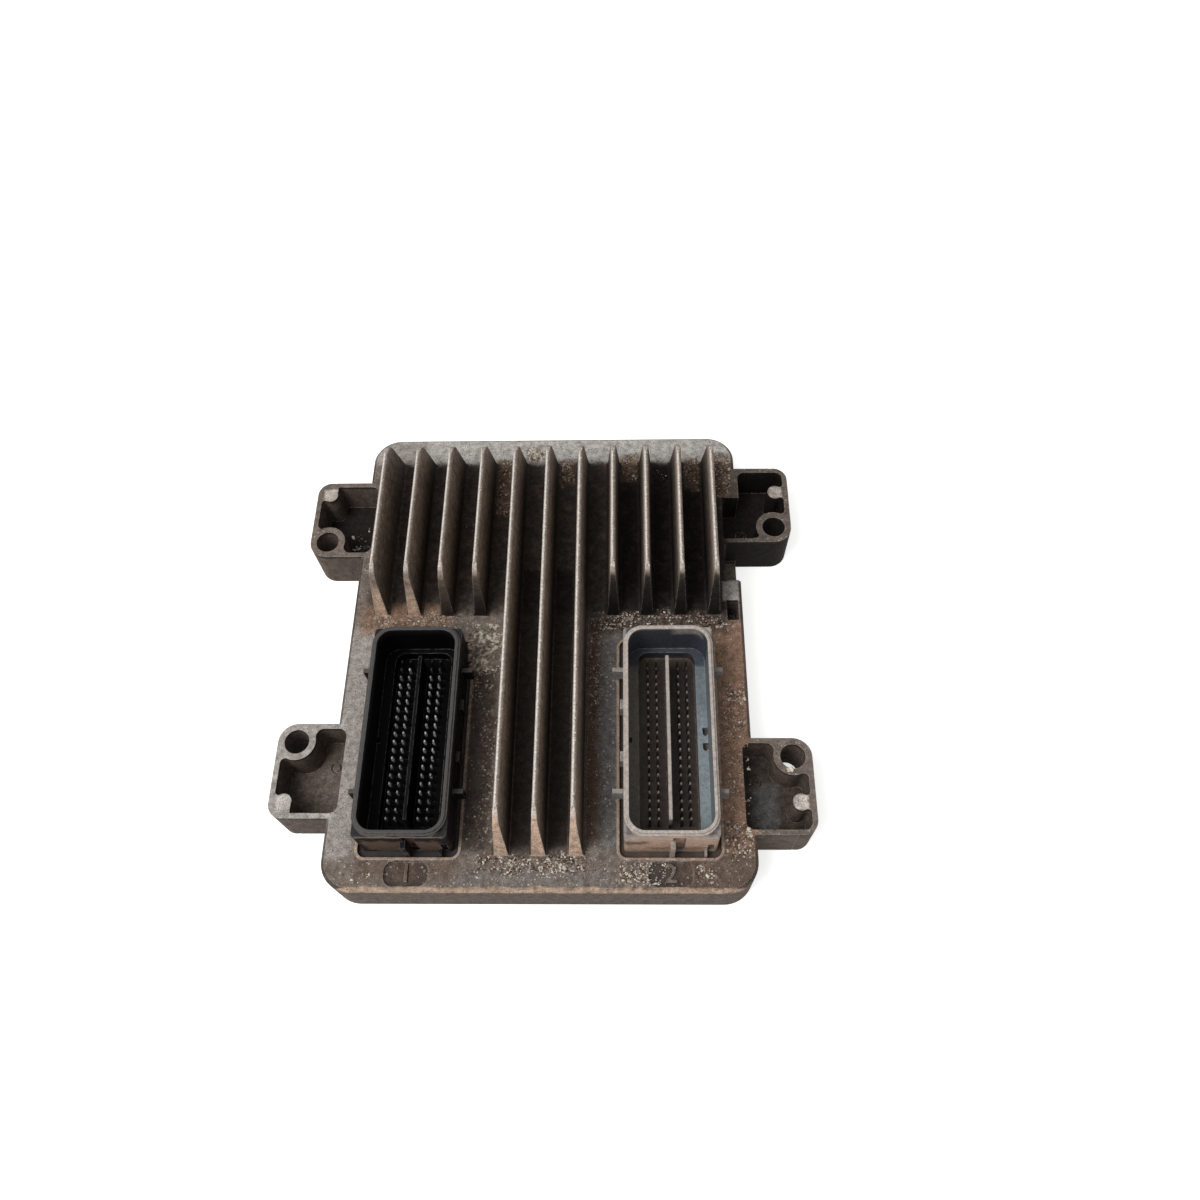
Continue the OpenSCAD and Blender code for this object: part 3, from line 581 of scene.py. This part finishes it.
def wear_down(f, look, coat, wear, feet):
    """Lays metal bare along edges and crests, the crests brighter on their left sides as painted light, with
    painted light on the upper left-facing fin sides and painted highlights along the crests: the coat with
    it and the mask of the bare metal.
    """
    edges = f.product(wear["Mask"], look.edge_wear)
    edges = f.product(edges, f.math("SUBTRACT", 1.0, feet))
    crest = f.ramp(f.z, (CREST - 2.2) * MM, (CREST - 0.5) * MM)
    chips = f.ramp(f.clouds(f.place, 1500.0, 5.0, 0.7), 0.36, 0.62)
    # Painted light: the crests are bared more on their left-facing sides, where the light falls
    lit = f.product(crest, f.spread(f.left, 0.3, 1.0))
    rubbed = f.product(lit, f.spread(chips, 0.3, 1.0), look.crest_wear)
    # Painted light: the upper left-facing sides of the fins lightened
    painted_lit_brow = f.product(f.ramp(f.z, (CREST - 7) * MM, (CREST - 0.8) * MM), f.far_left)
    coat = f.blend(f.product(painted_lit_brow, 0.65), coat, look.flank)
    bright = f.math("MAXIMUM", edges, rubbed)
    coat = f.blend(bright, coat, look.worn)
    # Painted highlight along the left edge of the crest tops, where the light falls
    lean = f.node("SeparateXYZ", wear["Normal"]).outputs[0]
    painted_lit_brink = f.product(f.ramp(lean, -0.08, -0.35), f.product(crest, f.up))
    coat = f.blend(f.product(painted_lit_brink, f.spread(chips, 0.45, 1.0)), coat, look.glint)
    # Painted highlights: bright specks along the crests
    painted_glint_specks = f.use(speckle, Place=f.place, Scale=1500.0, Part=0.2)["Mask"]
    return f.blend(f.product(painted_glint_specks, crest, 0.7), coat, look.glint), bright


def casting_finish(look, name="worn_casting"):
    """Dirty die-cast aluminium: stained and strewn with litter, painted shade in its gaps, pockets and
    shaded places, its edges and crests worn bright, with painted highlights on the crests.
    """
    f = Finish(name)
    skin = f.use(rough_skin, Place=f.place, Coarse=480.0, Fine=2600.0)
    coat = casting_coat(f, look)
    coat, crumbs, strewn = strew_litter(f, look, coat)
    feet = f.math("MAXIMUM", f.box(*ALL_FINS, 0.8, 2), f.box(*LONG_FINS, 0.8, 2))
    coat = strew_specks(f, look, coat, feet)
    coat = f.shade(coat, f.spread(skin["Mottle"], 0.66, 1.22))
    coat = f.shade(coat, f.spread(skin["Grain"], 0.62, 1.32))
    wear = f.use(edge_wear, Place=f.place, Width=0.45 * MM, Grain=1100.0)
    coat, bright = wear_down(f, look, coat, wear, feet)
    rough = f.spread(bright, 0.8, 0.55)
    metal = f.product(bright, 0.25)
    f.fill(f.shader.inputs["Specular IOR Level"], f.spread(bright, 0.12, 0.5))
    height = f.plain_math("MULTIPLY_ADD", f.product(crumbs, strewn), 1.6, skin["Height"])
    return f.close(coat, rough, height, look.skin_depth, metal, wear["Normal"])


def moulding_finish(name, tint, edge, grime, look, middle_x, patches, film, rim, gloss, inner_gloss):
    """Dusty moulded plastic with rubbed edges and a dusty rim; some of its patches are painted shade and
    painted light.

    A patch is a tint, a place from the header's middle, a reach, a soft and a ragged border, a
    strength and a facing.
    """
    f = Finish(name)
    skin = f.use(rough_skin, Place=f.place, Coarse=700.0, Fine=3600.0)
    dusty = f.product(f.ramp(f.clouds(f.place, 160.0, 5.0), 0.4, 0.75), film)
    coat = f.blend(f.product(dusty, f.up), tint, look.dust)
    coat = f.shade(coat, f.spread(f.ramp(f.clouds(f.place, 330.0, 6.0, 0.65), 0.3, 0.7), 0.68, 1.14))
    low = f.ramp(f.z, (DECK + 7) * MM, DECK * MM)
    foot = f.product(low, f.ramp(f.clouds(f.place, 240.0, 5.0, 0.6), 0.36, 0.6))
    coat = f.blend(f.product(foot, f.side, 0.75), coat, grime)
    for shade, (dx, dy, z), reach, soft, ragged, strength, on in patches:
        centre = (middle_x + dx, HEADER_Y + dy, z)
        coat = f.patch(coat, shade, centre, reach, soft, ragged, strength, getattr(f, on) if on else None)
    wear = f.use(edge_wear, Place=f.place, Width=0.35 * MM, Grain=700.0)
    top = f.product(f.ramp(f.z, (HEADER_RIM - 1.2) * MM, (HEADER_RIM - 0.6) * MM), f.up, rim)
    bright = f.math("MAXIMUM", f.product(wear["Mask"], 0.85), top)
    coat = f.blend(bright, coat, edge)
    blotch = f.ramp(f.clouds(f.place, 900.0, 5.0, 0.65), 0.34, 0.66)
    blotch = f.product(blotch, f.math("MAXIMUM", f.near, f.up))
    coat = f.shade(coat, f.spread(blotch, 1 - 0.4 * film, 1 + 0.7 * film))
    coat = f.shade(coat, f.spread(skin["Grain"], 0.82, 1.14))
    rough = f.spread(skin["Mottle"], 0.45, 0.65)
    depths = f.ramp(f.z, (HEADER_RIM - 1.6) * MM, (HEADER_RIM - 4.6) * MM)
    f.fill(f.shader.inputs["Specular IOR Level"], f.spread(depths, gloss, inner_gloss))
    return f.close(coat, rough, skin["Height"], depth=0.03 * MM, normal=wear["Normal"])


def pin_finish(name, tip, shank, level, roughness, metallic, faded, lone_glint):
    """Plated pins: tips above a level lit brighter than the shanks as painted highlights, the far rows
    darker as painted shade and the tops darker than the sides, fading towards the near end, and one tip that
    stays clear as a painted highlight.
    """
    f = Finish(name)
    skin = f.use(rough_skin, Place=f.place, Coarse=900.0, Fine=4000.0)
    # Painted light: tips above the level lit, the far rows kept dark as painted shade, tops darker than
    # sides
    high = f.ramp(f.z, (level - 1.8) * MM, level * MM)
    shown = f.product(high, f.ramp(f.y, -12 * MM, -18 * MM))
    fading = f.spread(f.ramp(f.y, -58 * MM, -36 * MM), faded, 1.0)
    shown = f.product(shown, f.product(fading, f.spread(f.up, 1.0, 0.55)))
    # One tip kept bright as a single painted highlight
    shown = f.math("MAXIMUM", shown, f.box(lone_glint, (0.5, 0.5, 2), 0.1, 0))
    coat = f.blend(shown, shank, tip)
    coat = f.shade(coat, f.spread(f.node("NewGeometry").outputs["Random Per Island"], 0.15, 1.2))
    f.shader.inputs["Metallic"].default_value = metallic
    return f.close(coat, roughness, skin["Height"], depth=0.02 * MM)


def crumb_finish(name, pale, mid, dark):
    """Loose crumbs, each of its own tone between three."""
    f = Finish(name)
    draw = f.node("NewGeometry").outputs["Random Per Island"]
    coat = f.blend(f.ramp(draw, 0.0, 0.5), dark, mid)
    coat = f.blend(f.ramp(draw, 0.45, 0.8), coat, pale)
    skin = f.use(rough_skin, Place=f.place, Coarse=1200.0, Fine=5000.0)
    coat = f.shade(coat, f.spread(skin["Mottle"], 0.7, 1.15))
    return f.close(coat, 0.95, skin["Height"], depth=0.1 * MM)


def flake_finish(name, look):
    """Corrosion broken into ragged pale flakes with darker hollows between them."""
    f = Finish(name)
    flakes = f.clouds(f.place, 560.0, 8.0, 0.72)
    pale = f.ramp(flakes, 0.43, 0.5)
    tones = f.blend(f.ramp(f.clouds(f.place, 900.0, 4.0), 0.4, 0.6), look.grit, look.crust)
    coat = f.blend(pale, look.crack, tones)
    skin = f.use(rough_skin, Place=f.place, Coarse=900.0, Fine=4200.0)
    coat = f.shade(coat, f.spread(skin["Grain"], 0.7, 1.2))
    height = f.plain_math("MULTIPLY_ADD", pale, 0.9, skin["Height"])
    f.shader.inputs["Specular IOR Level"].default_value = 0.15
    return f.close(coat, 0.92, height, depth=0.18 * MM)


# Plain finishes: material, colour, mottling, scale of the mottling, roughness, metal, nodes
COVER_FINISHES = [
    ("cover_sheet", "#8f8c87", "#6e6a65", 160.0, 0.48, 0.55, ["back_cover"]),
    ("zinc_screws", "#b5b3ad", "#8b8881", 500.0, 0.38, 0.8, ["cover_screws"]),
]
BOARD_FINISHES = [
    ("board_mask", "#1f5a34", "#17462a", 300.0, 0.4, 0.0, ["circuit_board"]),
    ("board_zinc", "#b5b3ad", "#8b8881", 500.0, 0.38, 0.8, ["board_screws"]),
    ("chip_package", "#222224", "#191a1b", 900.0, 0.6, 0.0, [
        "microcontroller", "memory_chip", "power_supply_chip", "driver_chips", "power_transistors",
        "transceiver_chips"]),
    ("gap_pad", "#8fa3b0", "#7d919e", 600.0, 0.8, 0.0, ["thermal_pads"]),
    ("capacitor_can", "#b9bbbd", "#9c9ea0", 700.0, 0.35, 0.85, ["electrolytic_capacitors"]),
    ("ferrite_core", "#303033", "#232326", 700.0, 0.6, 0.0, ["power_inductor"]),
    ("crystal_can", "#c3c3bf", "#a5a5a0", 700.0, 0.3, 0.9, ["crystal"]),
    ("chip_ceramic", "#b8a88c", "#9a8a6e", 900.0, 0.5, 0.0, ["chip_capacitors"]),
]


def coat_piece(piece, material):
    """Gives a piece its only material."""
    piece.data.materials.clear()
    piece.data.materials.append(material)


def dress(node, material):
    """Gives a CAD node its material."""
    coat_piece(NODES[node], material)


def dress_plain(finishes):
    """Gives hidden nodes their plain finishes."""
    for name, tint, mottle, scale, roughness, metallic, nodes in finishes:
        material = plain_finish(name, tone(tint), tone(mottle), scale, roughness, metallic)
        for node in nodes:
            dress(node, material)


def deselect():
    """Goes back to object mode and selects nothing."""
    if bpy.context.object and bpy.context.object.mode != "OBJECT":
        bpy.ops.object.mode_set(mode="OBJECT")
    bpy.ops.object.select_all(action="DESELECT")


def settle(piece, name, material):
    """Names a finished piece, gives it its material and seats it on the body."""
    piece.name = name
    piece.data.name = name
    coat_piece(piece, material)
    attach(piece, BODY)


def crumb_shape(seed, detail):
    """One rough crumb of unit radius."""
    deselect()
    bpy.ops.mesh.primitive_ico_sphere_add(subdivisions=detail, radius=1.0)
    crumb = bpy.context.object
    bpy.ops.object.mode_set(mode="EDIT")
    bpy.ops.mesh.select_all(action="SELECT")
    bpy.ops.transform.vertex_random(offset=0.42, uniform=0.7, normal=0.5, seed=seed)
    bpy.ops.object.mode_set(mode="OBJECT")
    return crumb


def scatter(name, material, heaps, seed, radius):
    """Lays copies of three crumb shapes in clusters on flat spots and joins them into one piece."""
    draw = random.Random(seed)
    shapes = [crumb_shape(seed + i, detail=1) for i in range(3)]
    laid = []
    for (x0, x1), (y0, y1), level, count, swell in heaps:
        middles = [(draw.uniform(x0, x1), draw.uniform(y0, y1)) for _ in range(max(1, count // CLUSTER))]
        spread = CLUSTER_SPREAD * math.sqrt((x1 - x0) * (y1 - y0))
        for _ in range(count):
            middle = draw.choice(middles)
            x = min(x1, max(x0, draw.gauss(middle[0], spread)))
            y = min(y1, max(y0, draw.gauss(middle[1], spread)))
            size = radius * swell * draw.uniform(0.4, 1.0) ** 1.6
            if draw.random() < LARGE_SHARE:
                size *= LARGE_SIZE
            spot = Vector((x, y, level)) * MM
            spot.z += size * draw.uniform(0.0, 0.35)
            turn = Euler([draw.uniform(0, math.tau) for _ in range(3)]).to_matrix().to_4x4()
            squash = Matrix.Diagonal((
                draw.uniform(0.8, 1.4), draw.uniform(0.7, 1.2), draw.uniform(0.5, 0.8), 1))
            crumb = draw.choice(shapes)
            copy = crumb.copy()
            copy.data = crumb.data.copy()
            copy.data.transform(Matrix.Translation(spot) @ Matrix.Scale(size, 4) @ squash @ turn)
            bpy.context.scene.collection.objects.link(copy)
            laid.append(copy)
    for shape in shapes:
        bpy.data.objects.remove(shape)
    deselect()
    for copy in laid:
        copy.select_set(True)
    bpy.context.view_layer.objects.active = laid[0]
    bpy.ops.object.join()
    settle(bpy.context.object, name, material)


# Heaps of crumbs in millimetres: reach along X, reach along Y, level, count, swell
SALT_HEAPS = [
    ((23, 35.5), (-75.2, -69.4), DECK, 120, 1.0), ((44, 49), (-75, -70), DECK, 36, 1.2),
    ((53, 60), (-66.5, -59), DECK, 60, 1.2), ((15, 54), (5.2, 9.5), DECK, 90, 1.0),
    ((3.5, 7.5), (60, 67), DECK, 36, 1.2), ((-8, -3), (67, 74), DECK, 40, 1.0),
    ((-18.5, -13), (47, 72), DECK, 70, 1.0), ((-41, -33), (4.5, 9), DECK, 24, 1.0),
    ((-55, -48), (4.5, 8), DECK, 14, 1.0), ((-17, 13), (-73.5, -68.4), DECK, 150, 0.9),
    ((54, 60.5), (-33, -13), DECK, 60, 1.0), ((55, 60.5), (-56, -38), DECK, 30, 0.9),
    ((44, 50), (60, 68), DECK, 26, 1.0), ((56.5, 60), (54, 70), DECK, 44, 1.0),
    ((-24, -14), (-12, 6), DECK, 70, 0.9), ((14, 19), (-20, 6), DECK, 34, 0.8),
    ((-52, -44), (-75, -69.5), DECK, 26, 0.8),
]
GRIT_HEAPS = [
    ((-57, 57), (67.5, 75), DECK, 120, 0.7), ((-60, -54), (-66, 4), DECK, 60, 0.6),
    ((54, 60.5), (-70, 2), DECK, 150, 0.8), ((-56, 56), (-75.5, -68.6), DECK, 220, 0.7),
    ((-20, -14), (-66, 2), DECK, 50, 0.8), ((13.5, 20), (-66, 5), DECK, 60, 0.8),
    ((-55, -27), (3, 8), DECK, 90, 0.9), ((23.5, 29), (60, 72), DECK, 50, 1.1),
    ((34, 40), (60, 68), DECK, 26, 0.9), ((-69.8, -63.9), (40.4, 49.2), 4, 40, 1.3),
    ((-28.5, -24), (40, 66), DECK, 40, 0.9),
]


class CONTROL_UNIT_OT_casting(bpy.types.Operator):
    """Finish the die-cast housing"""
    bl_idname = "control_unit.casting"
    bl_label = "Casting"

    def execute(self, context):
        dress("housing", casting_finish(context.scene.control_unit.casting))
        return {"FINISHED"}


class CONTROL_UNIT_OT_headers(bpy.types.Operator):
    """Finish the two moulded headers"""
    bl_idname = "control_unit.headers"
    bl_label = "Headers"

    def execute(self, context):
        look = context.scene.control_unit.moulding
        left_patches = [
            # Painted shade: the inside of the black socket painted darker
            (look.black_inside, (0, 0, 22.4), (12.2, 30.8, 9), 0.3, 0, 1.0, None),
            (look.tab, (-14.9, 0, 24), (1.5, 33, 8), 0.3, 2, 0.7, "up"),
            (look.tab, (14.9, 0, 24), (1.5, 33, 8), 0.3, 2, 0.5, "up"),
            (look.dust, (0, -HEADER_END, 21), (11, 1.6, 5), 1, 8, 0.2, "near"),
            (look.dust, (0, -HEADER_END, 30.3), (12, 1.0, 0.7), 0.5, 4, 0.45, "near"),
        ]
        dress("left_header", moulding_finish(
            "black_moulding", look.black, look.black_edge, look.foot, look, -HEADER_X, left_patches,
            film=0.0, rim=0.2, gloss=0.25, inner_gloss=0.06))
        right_patches = [
            # Dust and painted shade on the inner sides of the socket
            (look.umber, (0, 0, 23), (12.3, 30.8, 8.6), 0.4, 0.5, 0.9, None),
            # Painted light: the lit right inner side painted blue-grey and lighter
            (look.blue, (10.1, -1.5, 24), (1.9, 28.4, 7), 0.3, 0.5, 0.95, None),
            # Painted shade on the far part of the right inner side and on the far inner wall
            (look.navy, (10.1, HEADER_END - 10, 24), (1.9, 11, 7), 6, 1, 0.45, None),
            (look.navy, (0, HEADER_END - 3.5, 24), (12, 4, 8), 0.8, 2, 0.9, None),
            (look.foot, (0, 0, 14), (8.4, 28.2, 4.6), 0.5, 1, 0.95, None),
            # Painted shade in the key notch of the right ledge
            (look.foot, (10.5, 0.45, 17.6), (1.6, 3.6, 1.2), 0.15, 0, 0.9, None),
            (look.grey_edge, (0, 0, 23), (0.62, 25.4, 3), 0.3, 1.3, 0.85, None),
            (look.dust, (0, -HEADER_END, 22), (13, 1.6, 10), 0.8, 3, 0.95, "near"),
            (look.foot, (-9.5, -HEADER_END, 24.5), (3.4, 1.8, 1.6), 0.7, 6, 0.75, "near"),
            (look.foot, (3, -HEADER_END, 19.4), (9, 1.8, 1.2), 1.0, 6, 0.5, "near"),
            (look.grey_edge, (0, -HEADER_END, 29.2), (12, 1.8, 1.4), 0.8, 4, 0.6, "near"),
            (look.grey_edge, (9, HEADER_END, 31.5), (7, 2.4, 2), 1.6, 3, 0.7, None),
        ]
        dress("right_header", moulding_finish(
            "grey_moulding", look.grey, look.grey_edge, look.dust, look, HEADER_X, right_patches,
            film=0.35, rim=0.82, gloss=0.35, inner_gloss=0.3))
        return {"FINISHED"}


class CONTROL_UNIT_OT_pins(bpy.types.Operator):
    """Finish the pins of both headers"""
    bl_idname = "control_unit.pins"
    bl_label = "Pins"

    def execute(self, context):
        look = context.scene.control_unit.moulding
        dress("left_header_pins", pin_finish(
            "bright_pins", look.tin, look.shank, level=21.6, roughness=0.35, metallic=0.2, faded=0.4,
            lone_glint=(-HEADER_X - 3.3, HEADER_Y + 21.6, 22)))
        dress("right_header_pins", pin_finish(
            "tarnished_pins", look.dull_tin, look.brown_shank, level=23.0, roughness=0.6, metallic=0.1,
            faded=0.9, lone_glint=(HEADER_X + 3.3, HEADER_Y + 3.8, 22)))
        return {"FINISHED"}


class CONTROL_UNIT_OT_seals(bpy.types.Operator):
    """Finish the sealant round the headers and under the cover"""
    bl_idname = "control_unit.seals"
    bl_label = "Seals"

    def execute(self, context):
        look = context.scene.control_unit.moulding
        depth = 0.2 * MM
        # The black bead is also painted shade in the trough round the left header
        black = plain_finish("black_sealant", look.black_seal, look.black_mottle, 500.0, 0.75, depth=depth)
        brown = plain_finish("brown_sealant", look.brown_seal, look.brown_mottle, 500.0, 0.8, depth=depth)
        dress("left_header_seal", black)
        dress("right_header_seal", brown)
        dress("cover_seal", black)
        return {"FINISHED"}


class CONTROL_UNIT_OT_cover(bpy.types.Operator):
    """Finish the back cover and its screws"""
    bl_idname = "control_unit.cover"
    bl_label = "Back cover"

    def execute(self, context):
        dress_plain(COVER_FINISHES)
        return {"FINISHED"}


class CONTROL_UNIT_OT_electronics(bpy.types.Operator):
    """Finish the board and the parts inside the housing"""
    bl_idname = "control_unit.electronics"
    bl_label = "Electronics"

    def execute(self, context):
        dress_plain(BOARD_FINISHES)
        return {"FINISHED"}


class CONTROL_UNIT_OT_marks(bpy.types.Operator):
    """Raise a plain numeral in each marking recess"""
    bl_idname = "control_unit.marks"
    bl_label = "Numerals"

    def execute(self, context):
        settings = context.scene.control_unit
        metal = casting_finish(settings.casting, "numeral_casting")
        for body, side, name in (("1", -1, "left_numeral"), ("2", 1, "right_numeral")):
            deselect()
            bpy.ops.object.text_add()
            text = bpy.context.object
            text.data.body = body
            text.data.align_x = "CENTER"
            text.data.align_y = "CENTER"
            text.data.size = settings.mark.height * TEXT_SIZE
            text.data.extrude = settings.mark.relief / 2
            text.data.bevel_depth = NUMERAL_BEVEL * MM
            text.data.bevel_resolution = 2
            bpy.ops.object.convert(target="MESH")
            numeral = bpy.context.object
            bpy.ops.object.mode_set(mode="EDIT")
            bpy.ops.mesh.select_all(action="SELECT")
            bpy.ops.mesh.remove_doubles(threshold=WELD * MM)
            bpy.ops.mesh.normals_make_consistent(inside=False)
            bpy.ops.object.mode_set(mode="OBJECT")
            level = MARK_FLOOR * MM + settings.mark.relief / 2
            numeral.data.transform(Matrix.Translation((side * HEADER_X * MM, MARK_Y * MM, level)))
            bpy.ops.object.shade_smooth_by_angle(angle=math.radians(SHARP_ANGLE))
            settle(numeral, name, metal)
        return {"FINISHED"}


class CONTROL_UNIT_OT_crumbs(bpy.types.Operator):
    """Lay crumbs of salt and road dirt on the deck"""
    bl_idname = "control_unit.crumbs"
    bl_label = "Crumbs"

    def execute(self, context):
        look = context.scene.control_unit.dirt
        salt = crumb_finish("salt_crumbs", look.salt, look.crust, look.grit)
        grit = crumb_finish("road_grit", look.crust, look.grit, look.soil)
        scatter("deck_salt", salt, SALT_HEAPS, seed=11, radius=look.crumb)
        scatter("deck_grit", grit, GRIT_HEAPS, seed=29, radius=look.crumb)
        self.lump(salt)
        return {"FINISHED"}

    def lump(self, material):
        """Cream lump stuck to the boss of the lower right ear."""
        lump = crumb_shape(seed=3, detail=2)
        seat = Matrix.Translation(mm(LUMP_AT))
        lump.data.transform(seat @ Matrix.Diagonal(mm(LUMP_REACH) + (1,)))
        settle(lump, "boss_lump", material)


class CONTROL_UNIT_OT_crust(bpy.types.Operator):
    """Raise the flaked corrosion beside the left header and on the far strip"""
    bl_idname = "control_unit.crust"
    bl_label = "Corrosion crust"

    def execute(self, context):
        look = context.scene.control_unit.dirt
        flakes = flake_finish("corrosion_flakes", look)
        for name, (cx, cy), (rx, ry), seed in CRUSTS:
            deselect()
            bpy.ops.mesh.primitive_grid_add(
                x_subdivisions=int(rx * CRUST_GRID), y_subdivisions=int(ry * CRUST_GRID), size=2)
            sheet = bpy.context.object
            drift = Vector((seed * 7.3, seed * 3.1, 0))
            for vertex in sheet.data.vertices:
                u, v = vertex.co.x, vertex.co.y
                here = Vector((u * rx, v * ry, 0))
                rise = self.rise(math.hypot(u, v), here, drift)
                vertex.co = Vector((cx + here.x, cy + here.y, DECK + rise * look.rise / MM)) * MM
            bpy.ops.object.mode_set(mode="EDIT")
            work = bmesh.from_edit_mesh(sheet.data)
            low = (DECK - CRUST_SUNK) * MM
            sunk = [face for face in work.faces if all(v.co.z < low for v in face.verts)]
            bmesh.ops.delete(work, geom=sunk, context="FACES")
            loose = [v for v in work.verts if not v.link_faces]
            bmesh.ops.delete(work, geom=loose, context="VERTS")
            bmesh.update_edit_mesh(sheet.data)
            bpy.ops.object.mode_set(mode="OBJECT")
            solid = sheet.modifiers.new("thickness", "SOLIDIFY")
            solid.thickness = CRUST_THICKNESS * MM
            solid.offset = -1
            bpy.ops.object.modifier_apply(modifier=solid.name)
            settle(sheet, name, flakes)
        return {"FINISHED"}

    def rise(self, outward, here, drift):
        """Height of a crust as a share of its full rise, below 0 outside its wandering border."""
        border = 1.0 - outward + 0.55 * noise.noise(here * 0.55 + drift)
        lumps = noise.fractal(here * 1.3 + drift, 0.8, 2.0, 4)
        return min(1.0, border * 2.2) * (0.55 + 0.5 * lumps) - 0.12


class CONTROL_UNIT_OT_stage(bpy.types.Operator):
    """Set the floor, the light and the camera"""
    bl_idname = "control_unit.stage"
    bl_label = "Stage"

    def execute(self, context):
        look = context.scene.control_unit.stage
        scene = context.scene
        scene.view_settings.view_transform = "Standard"
        deselect()
        bpy.ops.mesh.primitive_plane_add(size=FLOOR_SIZE, location=(0, 0, FLOOR_LEVEL))
        floor = bpy.context.object
        floor.name = "floor"
        floor.data.materials.append(self.floor_finish(look))
        self.sky(scene, look)
        bpy.ops.object.light_add(type="AREA", location=KEY_AT)
        key = bpy.context.object
        key.name = "key_light"
        key.data.size = KEY_SIZE
        key.data.energy = look.key_power
        key.rotation_euler = Vector(KEY_AT).to_track_quat("Z", "Y").to_euler()
        self.camera(scene)
        return {"FINISHED"}

    def seen(self, tree):
        """Mask of the rays that show the background: camera, mirror and glass rays."""
        path = tree.node("LightPath").outputs
        mirror = tree.math("ADD", path["Is Glossy Ray"], path["Is Transmission Ray"])
        return tree.math("ADD", path["Is Camera Ray"], mirror)

    def floor_finish(self, look):
        """Plain floor with a glow that only the rays showing it see, so that it looks white."""
        f = Finish("pale_floor")
        f.shader.inputs["Roughness"].default_value = 0.9
        f.shader.inputs["Base Color"].default_value = look.floor
        f.shader.inputs["Emission Color"].default_value = (1, 1, 1, 1)
        glow = f.product(self.seen(f), FLOOR_GLOW)
        f.fill(f.shader.inputs["Emission Strength"], glow)
        return f.material

    def sky(self, scene, look):
        """Even light from all round, white to the rays that show it."""
        world = bpy.data.worlds.new("studio")
        world.use_nodes = True
        scene.world = world
        tree = Tree(world.node_tree)
        seen = self.seen(tree)
        level = tree.node("MapRange", seen, 0.0, 1.0, look.sky, 1.0).outputs[0]
        tree.fill(world.node_tree.nodes["Background"].inputs["Color"], (1, 1, 1, 1))
        tree.fill(world.node_tree.nodes["Background"].inputs["Strength"], level)

    def camera(self, scene):
        """Camera that stands as the photo's did."""
        data = bpy.data.cameras.new("photo_camera")
        data.sensor_width = SENSOR_MM
        data.lens = FOCAL_PX / FRAME_PX * SENSOR_MM
        data.clip_start = 0.01
        camera = bpy.data.objects.new("photo_camera", data)
        scene.collection.objects.link(camera)
        turn = Matrix.Rotation(math.radians(CAMERA_TURN), 4, "Z")
        tilt = Matrix.Rotation(math.pi / 2 - math.radians(CAMERA_DOWN), 4, "X")
        roll = Matrix.Rotation(math.radians(CAMERA_ROLL), 4, "Z")
        camera.matrix_world = Matrix.Translation(Vector(CAMERA_AT) * MM) @ (turn @ tilt @ roll)
        scene.camera = camera


STEPS = (CONTROL_UNIT_OT_casting, CONTROL_UNIT_OT_headers, CONTROL_UNIT_OT_pins, CONTROL_UNIT_OT_seals,
         CONTROL_UNIT_OT_cover, CONTROL_UNIT_OT_electronics, CONTROL_UNIT_OT_marks,
         CONTROL_UNIT_OT_crumbs, CONTROL_UNIT_OT_crust, CONTROL_UNIT_OT_stage)


class CONTROL_UNIT_PT_steps(bpy.types.Panel):
    """Lists the steps that finish the unit"""
    bl_idname = "CONTROL_UNIT_PT_steps"
    bl_label = "Engine control unit"
    bl_space_type = "VIEW_3D"
    bl_region_type = "UI"
    bl_category = "Control Unit"

    def draw(self, context):
        for step in STEPS:
            self.layout.operator(step.bl_idname)


CLASSES = (CastingLook, MouldingLook, DirtLook, MarkLook, StageLook, ControlUnit, *STEPS,
           CONTROL_UNIT_PT_steps)


def register():
    """Registers the settings, the steps and the panel."""
    for cls in CLASSES:
        bpy.utils.register_class(cls)
    bpy.types.Scene.control_unit = bpy.props.PointerProperty(type=ControlUnit)


def unregister():
    """Takes them away again, in reverse."""
    del bpy.types.Scene.control_unit
    for cls in reversed(CLASSES):
        bpy.utils.unregister_class(cls)


def main():
    register()
    bpy.ops.control_unit.casting()
    bpy.ops.control_unit.headers()
    bpy.ops.control_unit.pins()
    bpy.ops.control_unit.seals()
    bpy.ops.control_unit.cover()
    bpy.ops.control_unit.electronics()
    bpy.ops.control_unit.marks()
    bpy.ops.control_unit.crumbs()
    bpy.ops.control_unit.crust()
    bpy.ops.control_unit.stage()


if __name__ == "__main__":
    main()
